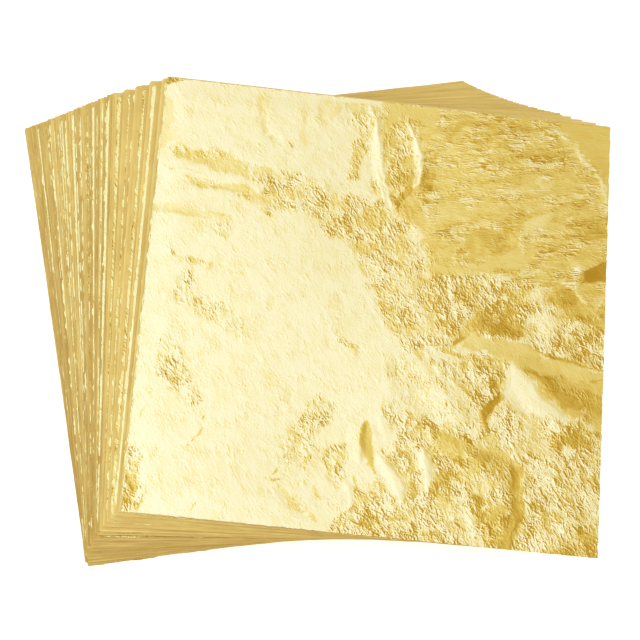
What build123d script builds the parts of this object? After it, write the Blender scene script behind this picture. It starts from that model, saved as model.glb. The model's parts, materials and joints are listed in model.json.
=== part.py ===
from build123d import *
import math
import os

# A loose pack of square metal leaves, each lying on its own sheet of tissue, fanned
# clockwise from the bottom to the top. The lowest tissue lies square to X and Y, with
# the origin at the middle of its underside. Lengths are in millimetres, turns in degrees.

# Sheets
leaf_side = 140.0
tissue_margin = 0.3
tissue_thickness = 0.06
leaf_thickness = 0.02
air_gap = 0.02

# Pack
pair_count = 100
loose_pairs = 10
bundle_pairs = 5

# Fan: the lower pairs turn in small even steps and the loose upper ones in larger steps
fan_turn = 14.2
loose_step = 0.42
low_pivot_x = -66.0
low_pivot_y = -52.0
top_pivot_x = -19.0
top_pivot_y = -107.7

# Unevenness of the stack, as the largest slip or turn of a sheet from its true place
tissue_slip = 0.35
leaf_slip = 0.3
leaf_forward = 0.2
sheet_twist = 0.1

# Folds of the top leaf: how high a ridge stands and how wide its foot is to each side
ridge_height = 1.1
ridge_foot = 7.0
swell_height = 0.5
mesh_cells = 20

# Worked out from the sizes above
tissue_side = leaf_side + 2 * tissue_margin
pair_pitch = tissue_thickness + leaf_thickness + 2 * air_gap
steady_step = (fan_turn - loose_pairs * loose_step) / (pair_count - 1 - loose_pairs)

# Turns in degrees from one sheet to the next, which spread the slips evenly
slip_turns = {
    "tissue_x": 137.5,
    "tissue_y": 222.1,
    "tissue_twist": 99.2,
    "leaf_x": 163.9,
    "leaf_y": 251.3,
}

# Ridges of the top leaf as shares of its side, from its middle: start x, y and end x, y,
# then the share of the ridge height
ridge_shares = [
    (-0.04, 0.49, 0.00, 0.30, 1.0),
    (0.00, 0.30, 0.06, 0.19, 0.9),
    (0.05, 0.45, 0.08, 0.36, 0.8),
    (0.08, 0.36, 0.03, 0.22, 0.7),
    (0.38, 0.47, 0.46, 0.40, 0.6),
    (0.46, 0.40, 0.50, 0.31, 0.7),
    (0.36, 0.27, 0.31, 0.20, 0.7),
    (0.49, 0.19, 0.43, 0.10, 0.8),
    (0.30, -0.08, 0.49, -0.22, 1.0),
    (0.29, -0.12, 0.24, -0.22, 0.8),
    (0.24, -0.22, 0.32, -0.37, 0.7),
    (0.32, -0.37, 0.32, -0.46, 0.5),
    (0.09, -0.27, 0.12, -0.38, 0.8),
    (0.12, -0.38, 0.20, -0.46, 0.6),
    (-0.29, 0.31, -0.10, 0.16, 0.5),
    (-0.10, 0.16, 0.05, 0.03, 0.6),
    (0.05, 0.03, 0.17, -0.05, 0.6),
    (-0.17, -0.42, -0.10, -0.48, 0.4),
    (-0.47, 0.32, -0.24, 0.26, 0.3),
    (-0.44, 0.26, -0.20, 0.19, 0.3),
]

# Long low swells of the top leaf: waves across its side in x and y, and where they start
swell_waves = [(1.3, 0.9, 20.0), (-1.1, 2.2, 140.0)]


def turn_at(pair):
    """Clockwise turn of a pair, counted from 0 at the bottom."""
    steady = min(pair, pair_count - 1 - loose_pairs)
    return steady * steady_step + (pair - steady) * loose_step


def pivot_at(turn):
    """Point that a sheet turns about: it drifts forward from the bottom to the top."""
    share = turn / fan_turn
    x = low_pivot_x + share * (top_pivot_x - low_pivot_x)
    y = low_pivot_y + share * (top_pivot_y - low_pivot_y)
    return x, y


def fanned(turn):
    """Place of a sheet that has turned clockwise about its pivot."""
    x, y = pivot_at(turn)
    return Pos(x, y, 0) * Rot(0, 0, -turn) * Pos(-x, -y, 0)


def uneven(pair, name):
    """A share from -1 to 1 that differs from one pair to the next."""
    return math.sin(math.radians(pair * slip_turns[name]))


def tissue_place(pair):
    """Where a pair's tissue lies, with the small slips of a stack laid by hand."""
    slip_x = tissue_slip * uneven(pair, "tissue_x")
    slip_y = tissue_slip * uneven(pair, "tissue_y")
    twist = sheet_twist * uneven(pair, "tissue_twist")
    if pair == 0:
        slip_x = slip_y = twist = 0
    return fanned(turn_at(pair)) * Pos(slip_x, slip_y, pair * pair_pitch) * Rot(0, 0, twist)


def leaf_place(pair):
    """Where a pair's leaf lies on its tissue, a little towards the front edge."""
    slip_x = leaf_slip * uneven(pair, "leaf_x")
    slip_y = leaf_slip * uneven(pair, "leaf_y") - leaf_forward
    return tissue_place(pair) * Pos(slip_x, slip_y, tissue_thickness + air_gap)


def flat_sheet(side, thickness):
    """A square sheet with the middle of its underside at the origin."""
    return Box(side, side, thickness, align=(Align.CENTER, Align.CENTER, Align.MIN))


def ridge_reach(x, y, start_x, start_y, end_x, end_y):
    """Share from 0 to 1 of how near a point is to a ridge line, 1 on the line."""
    run_x = end_x - start_x
    run_y = end_y - start_y
    along = ((x - start_x) * run_x + (y - start_y) * run_y) / (run_x**2 + run_y**2)
    along = max(0, min(1, along))
    gap = math.hypot(x - start_x - along * run_x, y - start_y - along * run_y)
    return max(0, 1 - gap / ridge_foot)


def fold_height(x, y):
    """Height of the top leaf above its lowest points, from its ridges and swells."""
    rise = 0
    for start_x, start_y, end_x, end_y, share in ridge_shares:
        line = [place * leaf_side for place in (start_x, start_y, end_x, end_y)]
        rise = max(rise, share * ridge_height * ridge_reach(x, y, *line))
    for waves_x, waves_y, start in swell_waves:
        phase = 360 * (waves_x * x + waves_y * y) / leaf_side + start
        rise += swell_height * (1 + math.cos(math.radians(phase))) / (2 * len(swell_waves))
    return rise


def rim_face(under, over, start, end):
    """Upright strip of the sheet's rim between two neighbouring grid points."""
    (i1, j1), (i2, j2) = start, end
    return Face(Wire.make_polygon([under[i1][j1], under[i2][j2], over[i2][j2], over[i1][j1]]))


def folded_leaf():
    """The top leaf as a thin sheet of flat facets that follow its folds."""
    step = leaf_side / mesh_cells
    places = [i * step - leaf_side / 2 for i in range(mesh_cells + 1)]
    under = [[Vector(x, y, fold_height(x, y)) for y in places] for x in places]
    lift = Vector(0, 0, leaf_thickness)
    over = [[point + lift for point in row] for row in under]
    faces = []
    for i in range(mesh_cells):
        for j in range(mesh_cells):
            for grid in (under, over):
                a, b, c, d = grid[i][j], grid[i + 1][j], grid[i + 1][j + 1], grid[i][j + 1]
                faces.append(Face(Wire.make_polygon([a, b, c])))
                faces.append(Face(Wire.make_polygon([a, c, d])))
    for i in range(mesh_cells):
        for edge in (0, mesh_cells):
            faces.append(rim_face(under, over, (i, edge), (i + 1, edge)))
            faces.append(rim_face(under, over, (edge, i), (edge, i + 1)))
    return Solid(Shell(faces))


def tissue(pair):
    """One tissue sheet in its place."""
    return tissue_place(pair) * flat_sheet(tissue_side, tissue_thickness)


def leaf(pair):
    """One metal leaf in its place: the top one shows its folds, the others lie pressed flat."""
    if pair == pair_count - 1:
        return leaf_place(pair) * folded_leaf()
    return leaf_place(pair) * flat_sheet(leaf_side, leaf_thickness)


def write_node(name, solids):
    """Save one node, a single sheet or a bundle of separate sheets."""
    shape = solids[0] if len(solids) == 1 else Compound(children=solids)
    export_step(shape, f"parts/{name}.step")
    print(f"{name}: {len(solids)} sheets")


os.makedirs("parts", exist_ok=True)

bundled = pair_count - loose_pairs
for first in range(0, bundled, bundle_pairs):
    pairs = range(first, min(first + bundle_pairs, bundled))
    number = first // bundle_pairs + 1
    write_node(f"tissue_bundle_{number:02d}", [tissue(pair) for pair in pairs])
    write_node(f"gold_bundle_{number:02d}", [leaf(pair) for pair in pairs])

for pair in range(bundled, pair_count):
    write_node(f"tissue_{pair + 1:03d}", [tissue(pair)])
    write_node(f"gold_leaf_{pair + 1:03d}", [leaf(pair)])
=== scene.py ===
"""A fanned pack of gold-coloured metal leaf with tissue between, dressed for a soft studio picture."""
import json
import logging
import math
from dataclasses import dataclass, field
from enum import Enum

import bpy
import numpy as np
from mathutils import Matrix, Vector

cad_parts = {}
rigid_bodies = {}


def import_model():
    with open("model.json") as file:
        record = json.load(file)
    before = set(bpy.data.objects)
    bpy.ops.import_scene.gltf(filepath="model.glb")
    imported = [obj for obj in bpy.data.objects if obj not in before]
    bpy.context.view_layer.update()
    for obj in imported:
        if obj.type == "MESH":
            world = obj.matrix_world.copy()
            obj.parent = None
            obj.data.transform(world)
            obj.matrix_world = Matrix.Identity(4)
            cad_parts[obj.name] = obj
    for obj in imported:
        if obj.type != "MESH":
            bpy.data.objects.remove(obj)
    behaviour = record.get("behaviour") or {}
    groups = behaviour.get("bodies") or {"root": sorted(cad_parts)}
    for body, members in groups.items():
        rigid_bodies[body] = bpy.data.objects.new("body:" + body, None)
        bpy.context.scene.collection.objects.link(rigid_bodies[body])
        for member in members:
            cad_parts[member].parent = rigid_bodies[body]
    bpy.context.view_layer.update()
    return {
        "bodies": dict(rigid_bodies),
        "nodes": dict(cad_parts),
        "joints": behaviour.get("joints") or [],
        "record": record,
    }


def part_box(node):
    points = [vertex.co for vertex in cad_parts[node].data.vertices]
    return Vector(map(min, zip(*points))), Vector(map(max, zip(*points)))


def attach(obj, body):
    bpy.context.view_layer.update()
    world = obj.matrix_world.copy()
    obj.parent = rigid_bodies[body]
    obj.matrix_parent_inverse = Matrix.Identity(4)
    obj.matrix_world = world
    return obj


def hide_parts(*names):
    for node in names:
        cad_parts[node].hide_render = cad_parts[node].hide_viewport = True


MM = 0.001
LOG = logging.getLogger("gold_leaf_pack")

MeshParts = tuple[np.ndarray, list[tuple[int, ...]], dict[str, np.ndarray]]
Colour = tuple[float, float, float, float]
Path = tuple[tuple[float, float], ...]
Span = tuple[float, float]
VALUE, VECTOR = "NodeSocketFloat", "NodeSocketVector"
THOUSAND = 1000
CORNER_DECIMALS = 7
LATTICE_SKEW = 0.366
LATTICE_MIX = (374761393, 668265263, 974634777)
SECOND_MIX = 1274126177
MIX_SHIFTS = (13, 16)
LOW_32_BITS, LOW_16_BITS = 0xFFFFFFFF, 0xFFFF


class Stuff(Enum):
    """What a sheet of the pack is made of. The value is the record's material slot."""

    TISSUE = "tissue"
    GOLD = "gold_leaf"


class Edge(Enum):
    """The four edges of a sheet, in the order that its outline runs round it."""

    FRONT = 0
    RIGHT = 1
    BACK = 2
    LEFT = 3


@dataclass(frozen=True)
class Seat:
    """Where one flat sheet lies, as its solid in the frame says.

    Attributes:
        middle: the middle of the sheet's underside.
        along: unit vector along the sheet's front edge, to the right.
        side: length of the sheet's side.
        low: height of its underside.
        high: height of its upper face.
        number: its place in the pack, 0 at the bottom.
    """

    middle: Vector
    along: Vector
    side: float
    low: float
    high: float
    number: int

    def place(self, points: np.ndarray) -> np.ndarray:
        """Moves points from the sheet's own axes, with the origin in its middle, to the frame.

        Args:
            points: an (n, 3) array; z is counted from the table.

        Returns:
            The points in the frame's axes.
        """
        x, y = points[:, 0], points[:, 1]
        placed = points.copy()
        placed[:, 0] = self.middle.x + x * self.along.x - y * self.along.y
        placed[:, 1] = self.middle.y + x * self.along.y + y * self.along.x
        return placed


def mesh_points(node: bpy.types.Object) -> np.ndarray:
    """Gives the corner points of a node's mesh as an (n, 3) array."""
    points = np.zeros(len(node.data.vertices) * 3)
    node.data.vertices.foreach_get("co", points)
    return points.reshape(-1, 3)


def seats_of(node: bpy.types.Object, first: int, levels: float = 1e-6) -> list[Seat]:
    """Reads the flat sheets in a node from the corners of its solids, lowest first.

    Args:
        node: a node of the frame that holds flat sheets.
        first: number of its lowest sheet in the pack.
        levels: heights nearer than this are one height.

    Returns:
        A seat for each sheet.
    """
    points = mesh_points(node)
    heights = np.unique(np.round(points[:, 2] / levels)) * levels
    seats = []
    for number in range(len(heights) // 2):
        low, high = heights[2 * number], heights[2 * number + 1]
        lowest = points[np.abs(points[:, 2] - low) < levels]
        corners = np.unique(np.round(lowest, CORNER_DECIMALS), axis=0)
        middle = corners.mean(axis=0)
        front = corners[np.argsort(corners[:, 1])[:2]]
        left, right = front[np.argsort(front[:, 0])]
        along = Vector((*(right - left)[:2], 0))
        seats.append(Seat(Vector(middle), along.normalized(), along.length, low, high, first + number))
    return seats


class Wobble:
    """Smooth random functions of one number, the same each run.

    Attributes:
        waves: how many waves there are of each wavelength.
        stretch: least and greatest stretch of a wave.
        height: about what the waves of one wavelength add up to.
    """

    waves: int = 3
    stretch: Span = (0.7, 1.4)
    height: float = 1.6

    def __init__(self, *seed: int) -> None:
        """Starts the draws from a seed of whole numbers."""
        self.random = np.random.default_rng(seed)

    def line(self, at: np.ndarray, lengths: tuple[float, ...]) -> np.ndarray:
        """Gives a wavy value from about -1 to 1 along a line.

        Args:
            at: places along the line.
            lengths: wavelengths that are added up, all with the same weight.

        Returns:
            The value at each place.
        """
        total = np.zeros_like(at)
        for length in lengths:
            for _ in range(self.waves):
                turn = self.random.uniform(0, 2 * math.pi)
                stretch = self.random.uniform(*self.stretch)
                total += np.sin(2 * math.pi * at / (length * stretch) + turn)
        return total / (self.height * len(lengths))

    def share(self) -> float:
        """Draws a number from 0 to 1."""
        return float(self.random.uniform())


def facet_noise(x: np.ndarray, y: np.ndarray, cell: float, seed: int) -> np.ndarray:
    """Heights from -1 to 1 that change evenly over flat triangles, as crumpled foil does.

    Args:
        x: places across, in any unit.
        y: places along, in the same unit.
        cell: about how wide a triangle is.
        seed: whole number that picks the heights.

    Returns:
        The height at each place, with sharp creases between the triangles.
    """
    skew = (x + y) * LATTICE_SKEW
    u, v = (x + skew) / cell, (y + skew) / cell
    i, j = np.floor(u).astype(np.int64), np.floor(v).astype(np.int64)
    fu, fv = u - i, v - j

    def knot(a: np.ndarray, b: np.ndarray) -> np.ndarray:
        """A fixed random height for a corner of the lattice."""
        mixed = (a * LATTICE_MIX[0] + b * LATTICE_MIX[1] + seed * LATTICE_MIX[2]) & LOW_32_BITS
        mixed = ((mixed ^ (mixed >> MIX_SHIFTS[0])) * SECOND_MIX) & LOW_32_BITS
        return ((mixed ^ (mixed >> MIX_SHIFTS[1])) & LOW_16_BITS) / (LOW_16_BITS / 2) - 1

    start, end = knot(i, j), knot(i + 1, j + 1)
    wide = knot(i + 1, j)
    tall = knot(i, j + 1)
    right = start * (1 - fu) + wide * (fu - fv) + end * fv
    upper = start * (1 - fv) + tall * (fv - fu) + end * fu
    return np.where(fu > fv, right, upper)


def smooth_noise(
    x: np.ndarray, y: np.ndarray, length: float, seed: int, waves: int = 9, stretch: Span = (0.7, 1.5)
) -> np.ndarray:
    """Soft random values from about -1 to 1.

    Args:
        x: places across.
        y: places along, in the same unit.
        length: about how long a wave is.
        seed: whole number that picks the waves.
        waves: how many waves are added up.
        stretch: least and greatest stretch of a wave.

    Returns:
        The value at each place.
    """
    random = np.random.default_rng(seed)
    total = np.zeros_like(x)
    for _ in range(waves):
        heading, turn = random.uniform(0, 2 * math.pi, 2)
        count = 2 * math.pi / (length * random.uniform(*stretch))
        total += np.sin(count * (x * math.cos(heading) + y * math.sin(heading)) + turn)
    return total / math.sqrt(waves)


def step_up(value: np.ndarray, low: float, high: float) -> np.ndarray:
    """Rises smoothly from 0 at low to 1 at high."""
    share = np.clip((value - low) / (high - low), 0, 1)
    return share * share * (3 - 2 * share)


def line_gap(x: np.ndarray, y: np.ndarray, points: Path) -> tuple[np.ndarray, np.ndarray, np.ndarray]:
    """Measures places against a line of several straight runs.

    Args:
        x: places to the right.
        y: places to the back.
        points: the corners of the line.

    Returns:
        The distance to the line, the share of its length at the nearest point, and whether the
        place lies to the left of the line.
    """
    best = np.full_like(x, np.inf)
    along = np.zeros_like(x)
    left = np.zeros_like(x, dtype=bool)
    corners = np.array(points)
    runs = np.diff(corners, axis=0)
    lengths = np.hypot(runs[:, 0], runs[:, 1])
    for number, (start, run, length) in enumerate(zip(corners, runs, lengths)):
        share = np.clip(((x - start[0]) * run[0] + (y - start[1]) * run[1]) / length**2, 0, 1)
        off_x, off_y = x - start[0] - share * run[0], y - start[1] - share * run[1]
        gap = np.hypot(off_x, off_y)
        nearer = gap < best
        best = np.where(nearer, gap, best)
        left = np.where(nearer, run[0] * off_y - run[1] * off_x > 0, left)
        along = np.where(nearer, (lengths[:number].sum() + share * length) / lengths.sum(), along)
    return best, along, left


def outline_gap(x: np.ndarray, y: np.ndarray, corners: Path) -> np.ndarray:
    """Distance of places to a closed outline, below 0 inside it.

    Args:
        x: places to the right.
        y: places to the back.
        corners: the corners of the outline.

    Returns:
        The signed distance.
    """
    gap = line_gap(x, y, corners + corners[:1])[0]
    inside = np.zeros_like(x, dtype=bool)
    for (x1, y1), (x2, y2) in zip(corners, corners[1:] + corners[:1]):
        if y1 != y2:
            crossed = (y1 > y) != (y2 > y)
            inside ^= crossed & (x < x1 + (y - y1) * (x2 - x1) / (y2 - y1))
    return np.where(inside, -gap, gap)


@dataclass(frozen=True)
class Layer:
    """One layer of noise on the top leaf.

    Attributes:
        weight: how much it counts.
        cell: about how wide its triangles or waves are, as a share of the leaf's side.
        seed: whole number that picks it.
    """

    weight: float
    cell: float
    seed: int

    def facets(self, x: np.ndarray, y: np.ndarray) -> np.ndarray:
        """Gives the layer as facet noise."""
        return self.weight * facet_noise(x, y, self.cell, self.seed)

    def waves(self, x: np.ndarray, y: np.ndarray) -> np.ndarray:
        """Gives the layer as smooth noise."""
        return self.weight * smooth_noise(x, y, self.cell, self.seed)


@dataclass(frozen=True)
class SteepGrain:
    """How wrinkles lie that run to the back.

    Attributes:
        cosine: of the angle from the leaf's right to the direction across the wrinkles.
        sine: of that angle.
        stretch: how much longer than wide they are.
    """

    cosine: float
    sine: float
    stretch: float

    def turn(self, x: np.ndarray, y: np.ndarray) -> tuple[np.ndarray, np.ndarray]:
        """Gives the places across the wrinkles, and along them in their longer unit."""
        return self.cosine * x + self.sine * y, (self.cosine * y - self.sine * x) / self.stretch


@dataclass(frozen=True)
class LevelGrain:
    """How wrinkles lie that run from left to right.

    Attributes:
        slope: how far they climb to the back on their way to the right.
        stretch: how much longer than wide they are.
    """

    slope: float
    stretch: float

    def turn(self, x: np.ndarray, y: np.ndarray) -> tuple[np.ndarray, np.ndarray]:
        """Gives the places along the wrinkles in their longer unit, and across them."""
        return (x + self.slope * y) / self.stretch, y - self.slope * x


def as_shares(points: Path) -> Path:
    """Turns places in thousandths of the leaf's side into shares of it."""
    return tuple((x / THOUSAND, y / THOUSAND) for x, y in points)


@dataclass(frozen=True)
class Facet:
    """A patch of the top leaf that lies at its own slant, with its light and shade painted into its tone.

    Attributes:
        tone: its painted light and shade, from 0, deep gold in shade, to 1, pale where it mirrors the light.
        rough: how crumpled it is, from 0, smooth, to 1.
        soft: how wide its border fades, as a share of the leaf's side.
        corners: its outline from the leaf's middle, in thousandths of the side.
    """

    tone: float
    rough: float
    soft: float
    corners: Path


@dataclass(frozen=True)
class Streak:
    """A narrow lit or shaded side of a crease on the top leaf, painted into its tone.

    Attributes:
        tone: its painted light or shade, from 0, deep gold, to 1, pale.
        rough: how crumpled it is.
        width: its greatest half width, as a share of the leaf's side.
        points: its line from the leaf's middle, in thousandths of the side.
    """

    tone: float
    rough: float
    width: float
    points: Path


@dataclass(frozen=True)
class Fold:
    """A raised or sunk crease of the top leaf. Its sizes are shares of the leaf's side.

    Attributes:
        height: its rise, below 0 for a valley.
        left_foot: how far its slope reaches to the left of the line.
        right_foot: how far it reaches to the right.
        points: its line from the leaf's middle, in thousandths of the side.
    """

    height: float
    left_foot: float
    right_foot: float
    points: Path


# Painted light and shade: the facets' tones paint the pale reflections and the deep shaded slants of the
# crumpled foil into its colour; each facet also slants the foil a little.
BROAD_FACETS = (
    Facet(0.50, 0.30, 0.010, (
        (-8, 360), (0, 300), (30, 225), (85, 170), (105, 100), (110, 30), (165, -50), (200, -40),
        (330, -36), (360, -60), (510, -90), (520, 520), (-10, 520), (-20, 440))),
    Facet(0.70, 0.60, 0.018, (
        (-300, 290), (-200, 310), (-90, 275), (-20, 260), (30, 222), (85, 170), (108, 100), (112, 20),
        (170, -55), (190, -85), (100, -90), (50, -50), (0, 20), (-40, 90), (-90, 165), (-200, 205),
        (-270, 220))),
    Facet(0.75, 0.75, 0.020, (
        (100, -90), (200, -80), (300, -80), (430, -190), (520, -240), (520, -520), (0, -520), (-60, -470),
        (0, -400), (50, -300), (30, -220), (60, -150))),
    Facet(0.89, 0.34, 0.014, (
        (20, -100), (100, -100), (130, -120), (190, -170), (235, -200), (215, -235), (100, -235),
        (40, -220))),
    Facet(0.68, 0.95, 0.012, (
        (335, -300), (390, -285), (450, -270), (520, -250), (520, -520), (300, -520), (330, -440))),
)
BELT_FACETS = (
    Facet(0.53, 0.55, 0.008, ((-100, 272), (-30, 262), (0, 225), (5, 120), (-40, 120), (-80, 180))),
    Facet(0.60, 0.68, 0.012, ((0, 100), (50, 0), (100, -50), (70, -90), (30, -40), (-10, 40))),
    Facet(0.87, 0.45, 0.008, (
        (50, 60), (100, 30), (115, -5), (165, -55), (150, -62), (100, -30), (60, 0))),
    Facet(0.97, 0.10, 0.003, ((-102, 297), (-64, 297), (-29, 281), (-17, 262), (-48, 266), (-91, 281))),
    Facet(0.82, 0.60, 0.006, ((27, 227), (48, 223), (83, 200), (102, 180), (64, 172), (44, 188))),
)
BACK_FACETS = (
    Facet(0.60, 0.05, 0.005, ((-5, 500), (110, 500), (100, 445), (70, 460), (30, 470), (0, 440))),
    Facet(0.46, 0.40, 0.006, (
        (0, 440), (32, 440), (45, 400), (56, 340), (50, 300), (30, 270), (8, 290), (0, 340))),
    Facet(0.18, 0.20, 0.003, (
        (31, 235), (25, 262), (40, 289), (60, 312), (64, 297), (44, 266), (34, 239))),
    Facet(0.96, 0.14, 0.002, (
        (-56, 493), (-30, 483), (-22, 452), (-14, 402), (-8, 355), (1, 301), (17, 258), (31, 231),
        (27, 217), (5, 250), (-6, 281), (-16, 320), (-22, 375), (-30, 413), (-34, 452), (-49, 479))),
    Facet(0.34, 0.40, 0.004, ((-32, 328), (-21, 312), (-13, 281), (-7, 262), (-25, 277), (-34, 301))),
    Facet(0.95, 0.25, 0.002, (
        (36, 454), (54, 446), (71, 417), (83, 375), (83, 347), (79, 312), (64, 299), (66, 320), (67, 347),
        (60, 375), (56, 402), (46, 429))),
    Facet(0.30, 0.50, 0.007, ((85, 367), (104, 347), (103, 312), (95, 275), (78, 275), (81, 312))),
    Facet(0.36, 0.12, 0.007, (
        (176, 468), (157, 452), (134, 413), (102, 367), (95, 377), (130, 427), (153, 464))),
    Facet(0.42, 0.42, 0.020, (
        (210, 480), (380, 450), (430, 400), (380, 360), (300, 380), (230, 330), (200, 400))),
    Facet(0.55, 0.18, 0.018, ((330, 350), (430, 370), (490, 340), (480, 310), (400, 290), (310, 320))),
    Facet(0.55, 0.20, 0.020, ((110, 270), (220, 290), (270, 260), (220, 230), (120, 225))),
    Facet(0.53, 0.03, 0.003, (
        (380, 485), (395, 520), (520, 520), (520, 290), (492, 310), (487, 350), (460, 395), (425, 430),
        (410, 455))),
    Facet(0.30, 0.30, 0.010, ((430, 325), (470, 338), (480, 322), (450, 308))),
    Facet(0.35, 0.25, 0.012, ((395, 200), (440, 225), (505, 230), (505, 290), (460, 275), (400, 245))),
    Facet(0.70, 0.08, 0.003, ((305, 240), (336, 258), (376, 275), (371, 264), (345, 235), (312, 217))),
    Facet(0.38, 0.14, 0.010, ((200, 211), (285, 222), (302, 190), (280, 168), (200, 150))),
    Facet(0.60, 0.10, 0.008, (
        (188, 122), (258, 149), (305, 180), (336, 165), (297, 137), (242, 118), (200, 110), (141, 106),
        (102, 110), (110, 122))),
)
RIGHT_FACETS = (
    Facet(0.44, 0.90, 0.006, (
        (112, 100), (200, 103), (300, 100), (325, 60), (318, 0), (330, -35), (200, -35), (165, -48),
        (130, -15), (105, 30))),
    Facet(0.68, 0.95, 0.006, ((225, 118), (297, 112), (388, 102), (394, 88), (300, 82), (230, 96))),
    Facet(0.25, 0.35, 0.008, (
        (235, 35), (305, 42), (315, 0), (322, -30), (200, -34), (196, -12), (215, 16))),
    Facet(0.42, 0.95, 0.006, (
        (400, 10), (430, 30), (505, 20), (505, -85), (460, -72), (400, -66), (350, -52), (335, -37),
        (380, -20))),
    Facet(0.84, 0.62, 0.004, (
        (320, 60), (336, 91), (375, 99), (367, 64), (386, 48), (417, 13), (395, -16), (336, -40),
        (325, -30), (320, 13))),
    Facet(0.30, 0.22, 0.004, (
        (371, 67), (400, 99), (429, 99), (456, 67), (505, 62), (505, 20), (440, 28), (413, 25),
        (386, 52))),
    Facet(0.50, 0.15, 0.004, ((380, 52), (440, 62), (505, 56), (505, 44), (420, 40))),
    Facet(0.52, 0.25, 0.004, ((400, 180), (440, 190), (505, 204), (464, 160), (444, 152), (417, 160))),
    Facet(0.06, 0.03, 0.002, (
        (444, 137), (464, 157), (490, 174), (505, 180), (505, 126), (464, 120), (443, 116))),
    Facet(0.85, 0.70, 0.002, (
        (415, 159), (428, 150), (442, 153), (452, 146), (441, 120), (436, 100), (424, 100), (422, 118),
        (431, 141))),
)
RIDGE_FACETS = (
    Facet(0.60, 0.05, 0.003, (
        (190, -38), (250, -34), (328, -37), (359, -60), (398, -72), (433, -76), (510, -92), (510, -240),
        (450, -200), (400, -166), (320, -102), (299, -82), (243, -73), (190, -64))),
    Facet(0.26, 0.14, 0.003, (
        (306, -90), (360, -105), (430, -108), (510, -100), (510, -190), (455, -196), (400, -168),
        (345, -124))),
    Facet(0.48, 0.10, 0.006, (
        (400, -108), (450, -104), (510, -112), (510, -135), (460, -128), (410, -122))),
    Facet(0.50, 0.15, 0.006, ((425, -178), (460, -176), (510, -190), (510, -215), (455, -196))),
    Facet(0.94, 0.08, 0.002, (
        (299, -80), (320, -102), (359, -141), (400, -172), (428, -198), (375, -202), (336, -204),
        (303, -198), (283, -180), (281, -134), (289, -99))),
    Facet(0.80, 0.45, 0.010, (
        (303, -198), (375, -202), (428, -196), (500, -220), (400, -235), (370, -280), (310, -260))),
    Facet(0.62, 0.85, 0.004, (
        (200, -75), (289, -81), (281, -134), (277, -165), (242, -188), (235, -196), (200, -165),
        (190, -134), (190, -100))),
    Facet(0.12, 0.10, 0.002, (
        (258, -130), (277, -137), (285, -157), (283, -176), (264, -188), (259, -207), (252, -223),
        (266, -246), (258, -250), (239, -229), (234, -215), (237, -198), (246, -184), (271, -166),
        (275, -153), (254, -137))),
    Facet(0.92, 0.15, 0.003, (
        (211, -262), (219, -242), (238, -232), (246, -240), (231, -262), (223, -274))),
    Facet(0.30, 0.55, 0.004, (
        (402, -213), (440, -217), (495, -221), (495, -254), (450, -262), (416, -277), (400, -287),
        (390, -262), (398, -235))),
    Facet(0.46, 0.45, 0.006, ((402, -406), (491, -437), (510, -500), (452, -452), (406, -433))),
    Facet(0.22, 0.35, 0.005, (
        (400, -487), (448, -474), (487, -466), (510, -470), (510, -510), (400, -510))),
    Facet(0.28, 0.30, 0.003, (
        (468, -270), (491, -290), (497, -340), (505, -400), (490, -330), (472, -286))),
)
ARCH_FACETS = (
    Facet(0.58, 0.70, 0.008, (
        (130, -260), (300, -270), (340, -330), (340, -460), (310, -505), (200, -505), (160, -440),
        (140, -360))),
    Facet(0.42, 0.38, 0.005, (
        (200, -270), (290, -285), (320, -300), (337, -360), (337, -450), (312, -505), (275, -505),
        (285, -440), (280, -390), (262, -350), (235, -325), (200, -312))),
    Facet(0.46, 0.24, 0.004, (
        (118, -258), (165, -258), (204, -270), (242, -285), (289, -289), (320, -293), (320, -320),
        (290, -350), (258, -330), (219, -315), (200, -312), (165, -300), (141, -285), (118, -277))),
    Facet(0.62, 0.60, 0.005, (
        (200, -320), (219, -322), (250, -336), (285, -340), (299, -362), (299, -394), (270, -400),
        (254, -394), (227, -367), (204, -355))),
    Facet(0.24, 0.38, 0.004, (
        (215, -380), (242, -388), (262, -404), (289, -411), (316, -425), (320, -452), (297, -505),
        (266, -505), (254, -468), (235, -437), (223, -410))),
    Facet(0.22, 0.08, 0.006, (
        (303, -296), (320, -292), (337, -320), (334, -359), (332, -398), (340, -425), (326, -452),
        (312, -505), (297, -505), (302, -470), (309, -440), (311, -400), (309, -359), (303, -330))),
    Facet(0.86, 0.40, 0.004, (
        (196, -408), (215, -411), (235, -443), (246, -468), (258, -495), (235, -505), (216, -475),
        (200, -445))),
    Facet(0.66, 0.35, 0.008, (
        (137, -420), (180, -400), (200, -400), (205, -450), (190, -500), (150, -460))),
    Facet(0.36, 0.20, 0.004, (
        (100, -330), (112, -350), (118, -388), (130, -397), (104, -408), (97, -382))),
    Facet(0.34, 0.50, 0.006, (
        (149, -340), (180, -328), (192, -314), (197, -336), (180, -362), (160, -384), (140, -430),
        (137, -394), (145, -363))),
    Facet(0.95, 0.04, 0.002, (
        (117, -291), (130, -305), (141, -332), (141, -359), (134, -396), (118, -388), (114, -355),
        (109, -325))),
)
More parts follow.
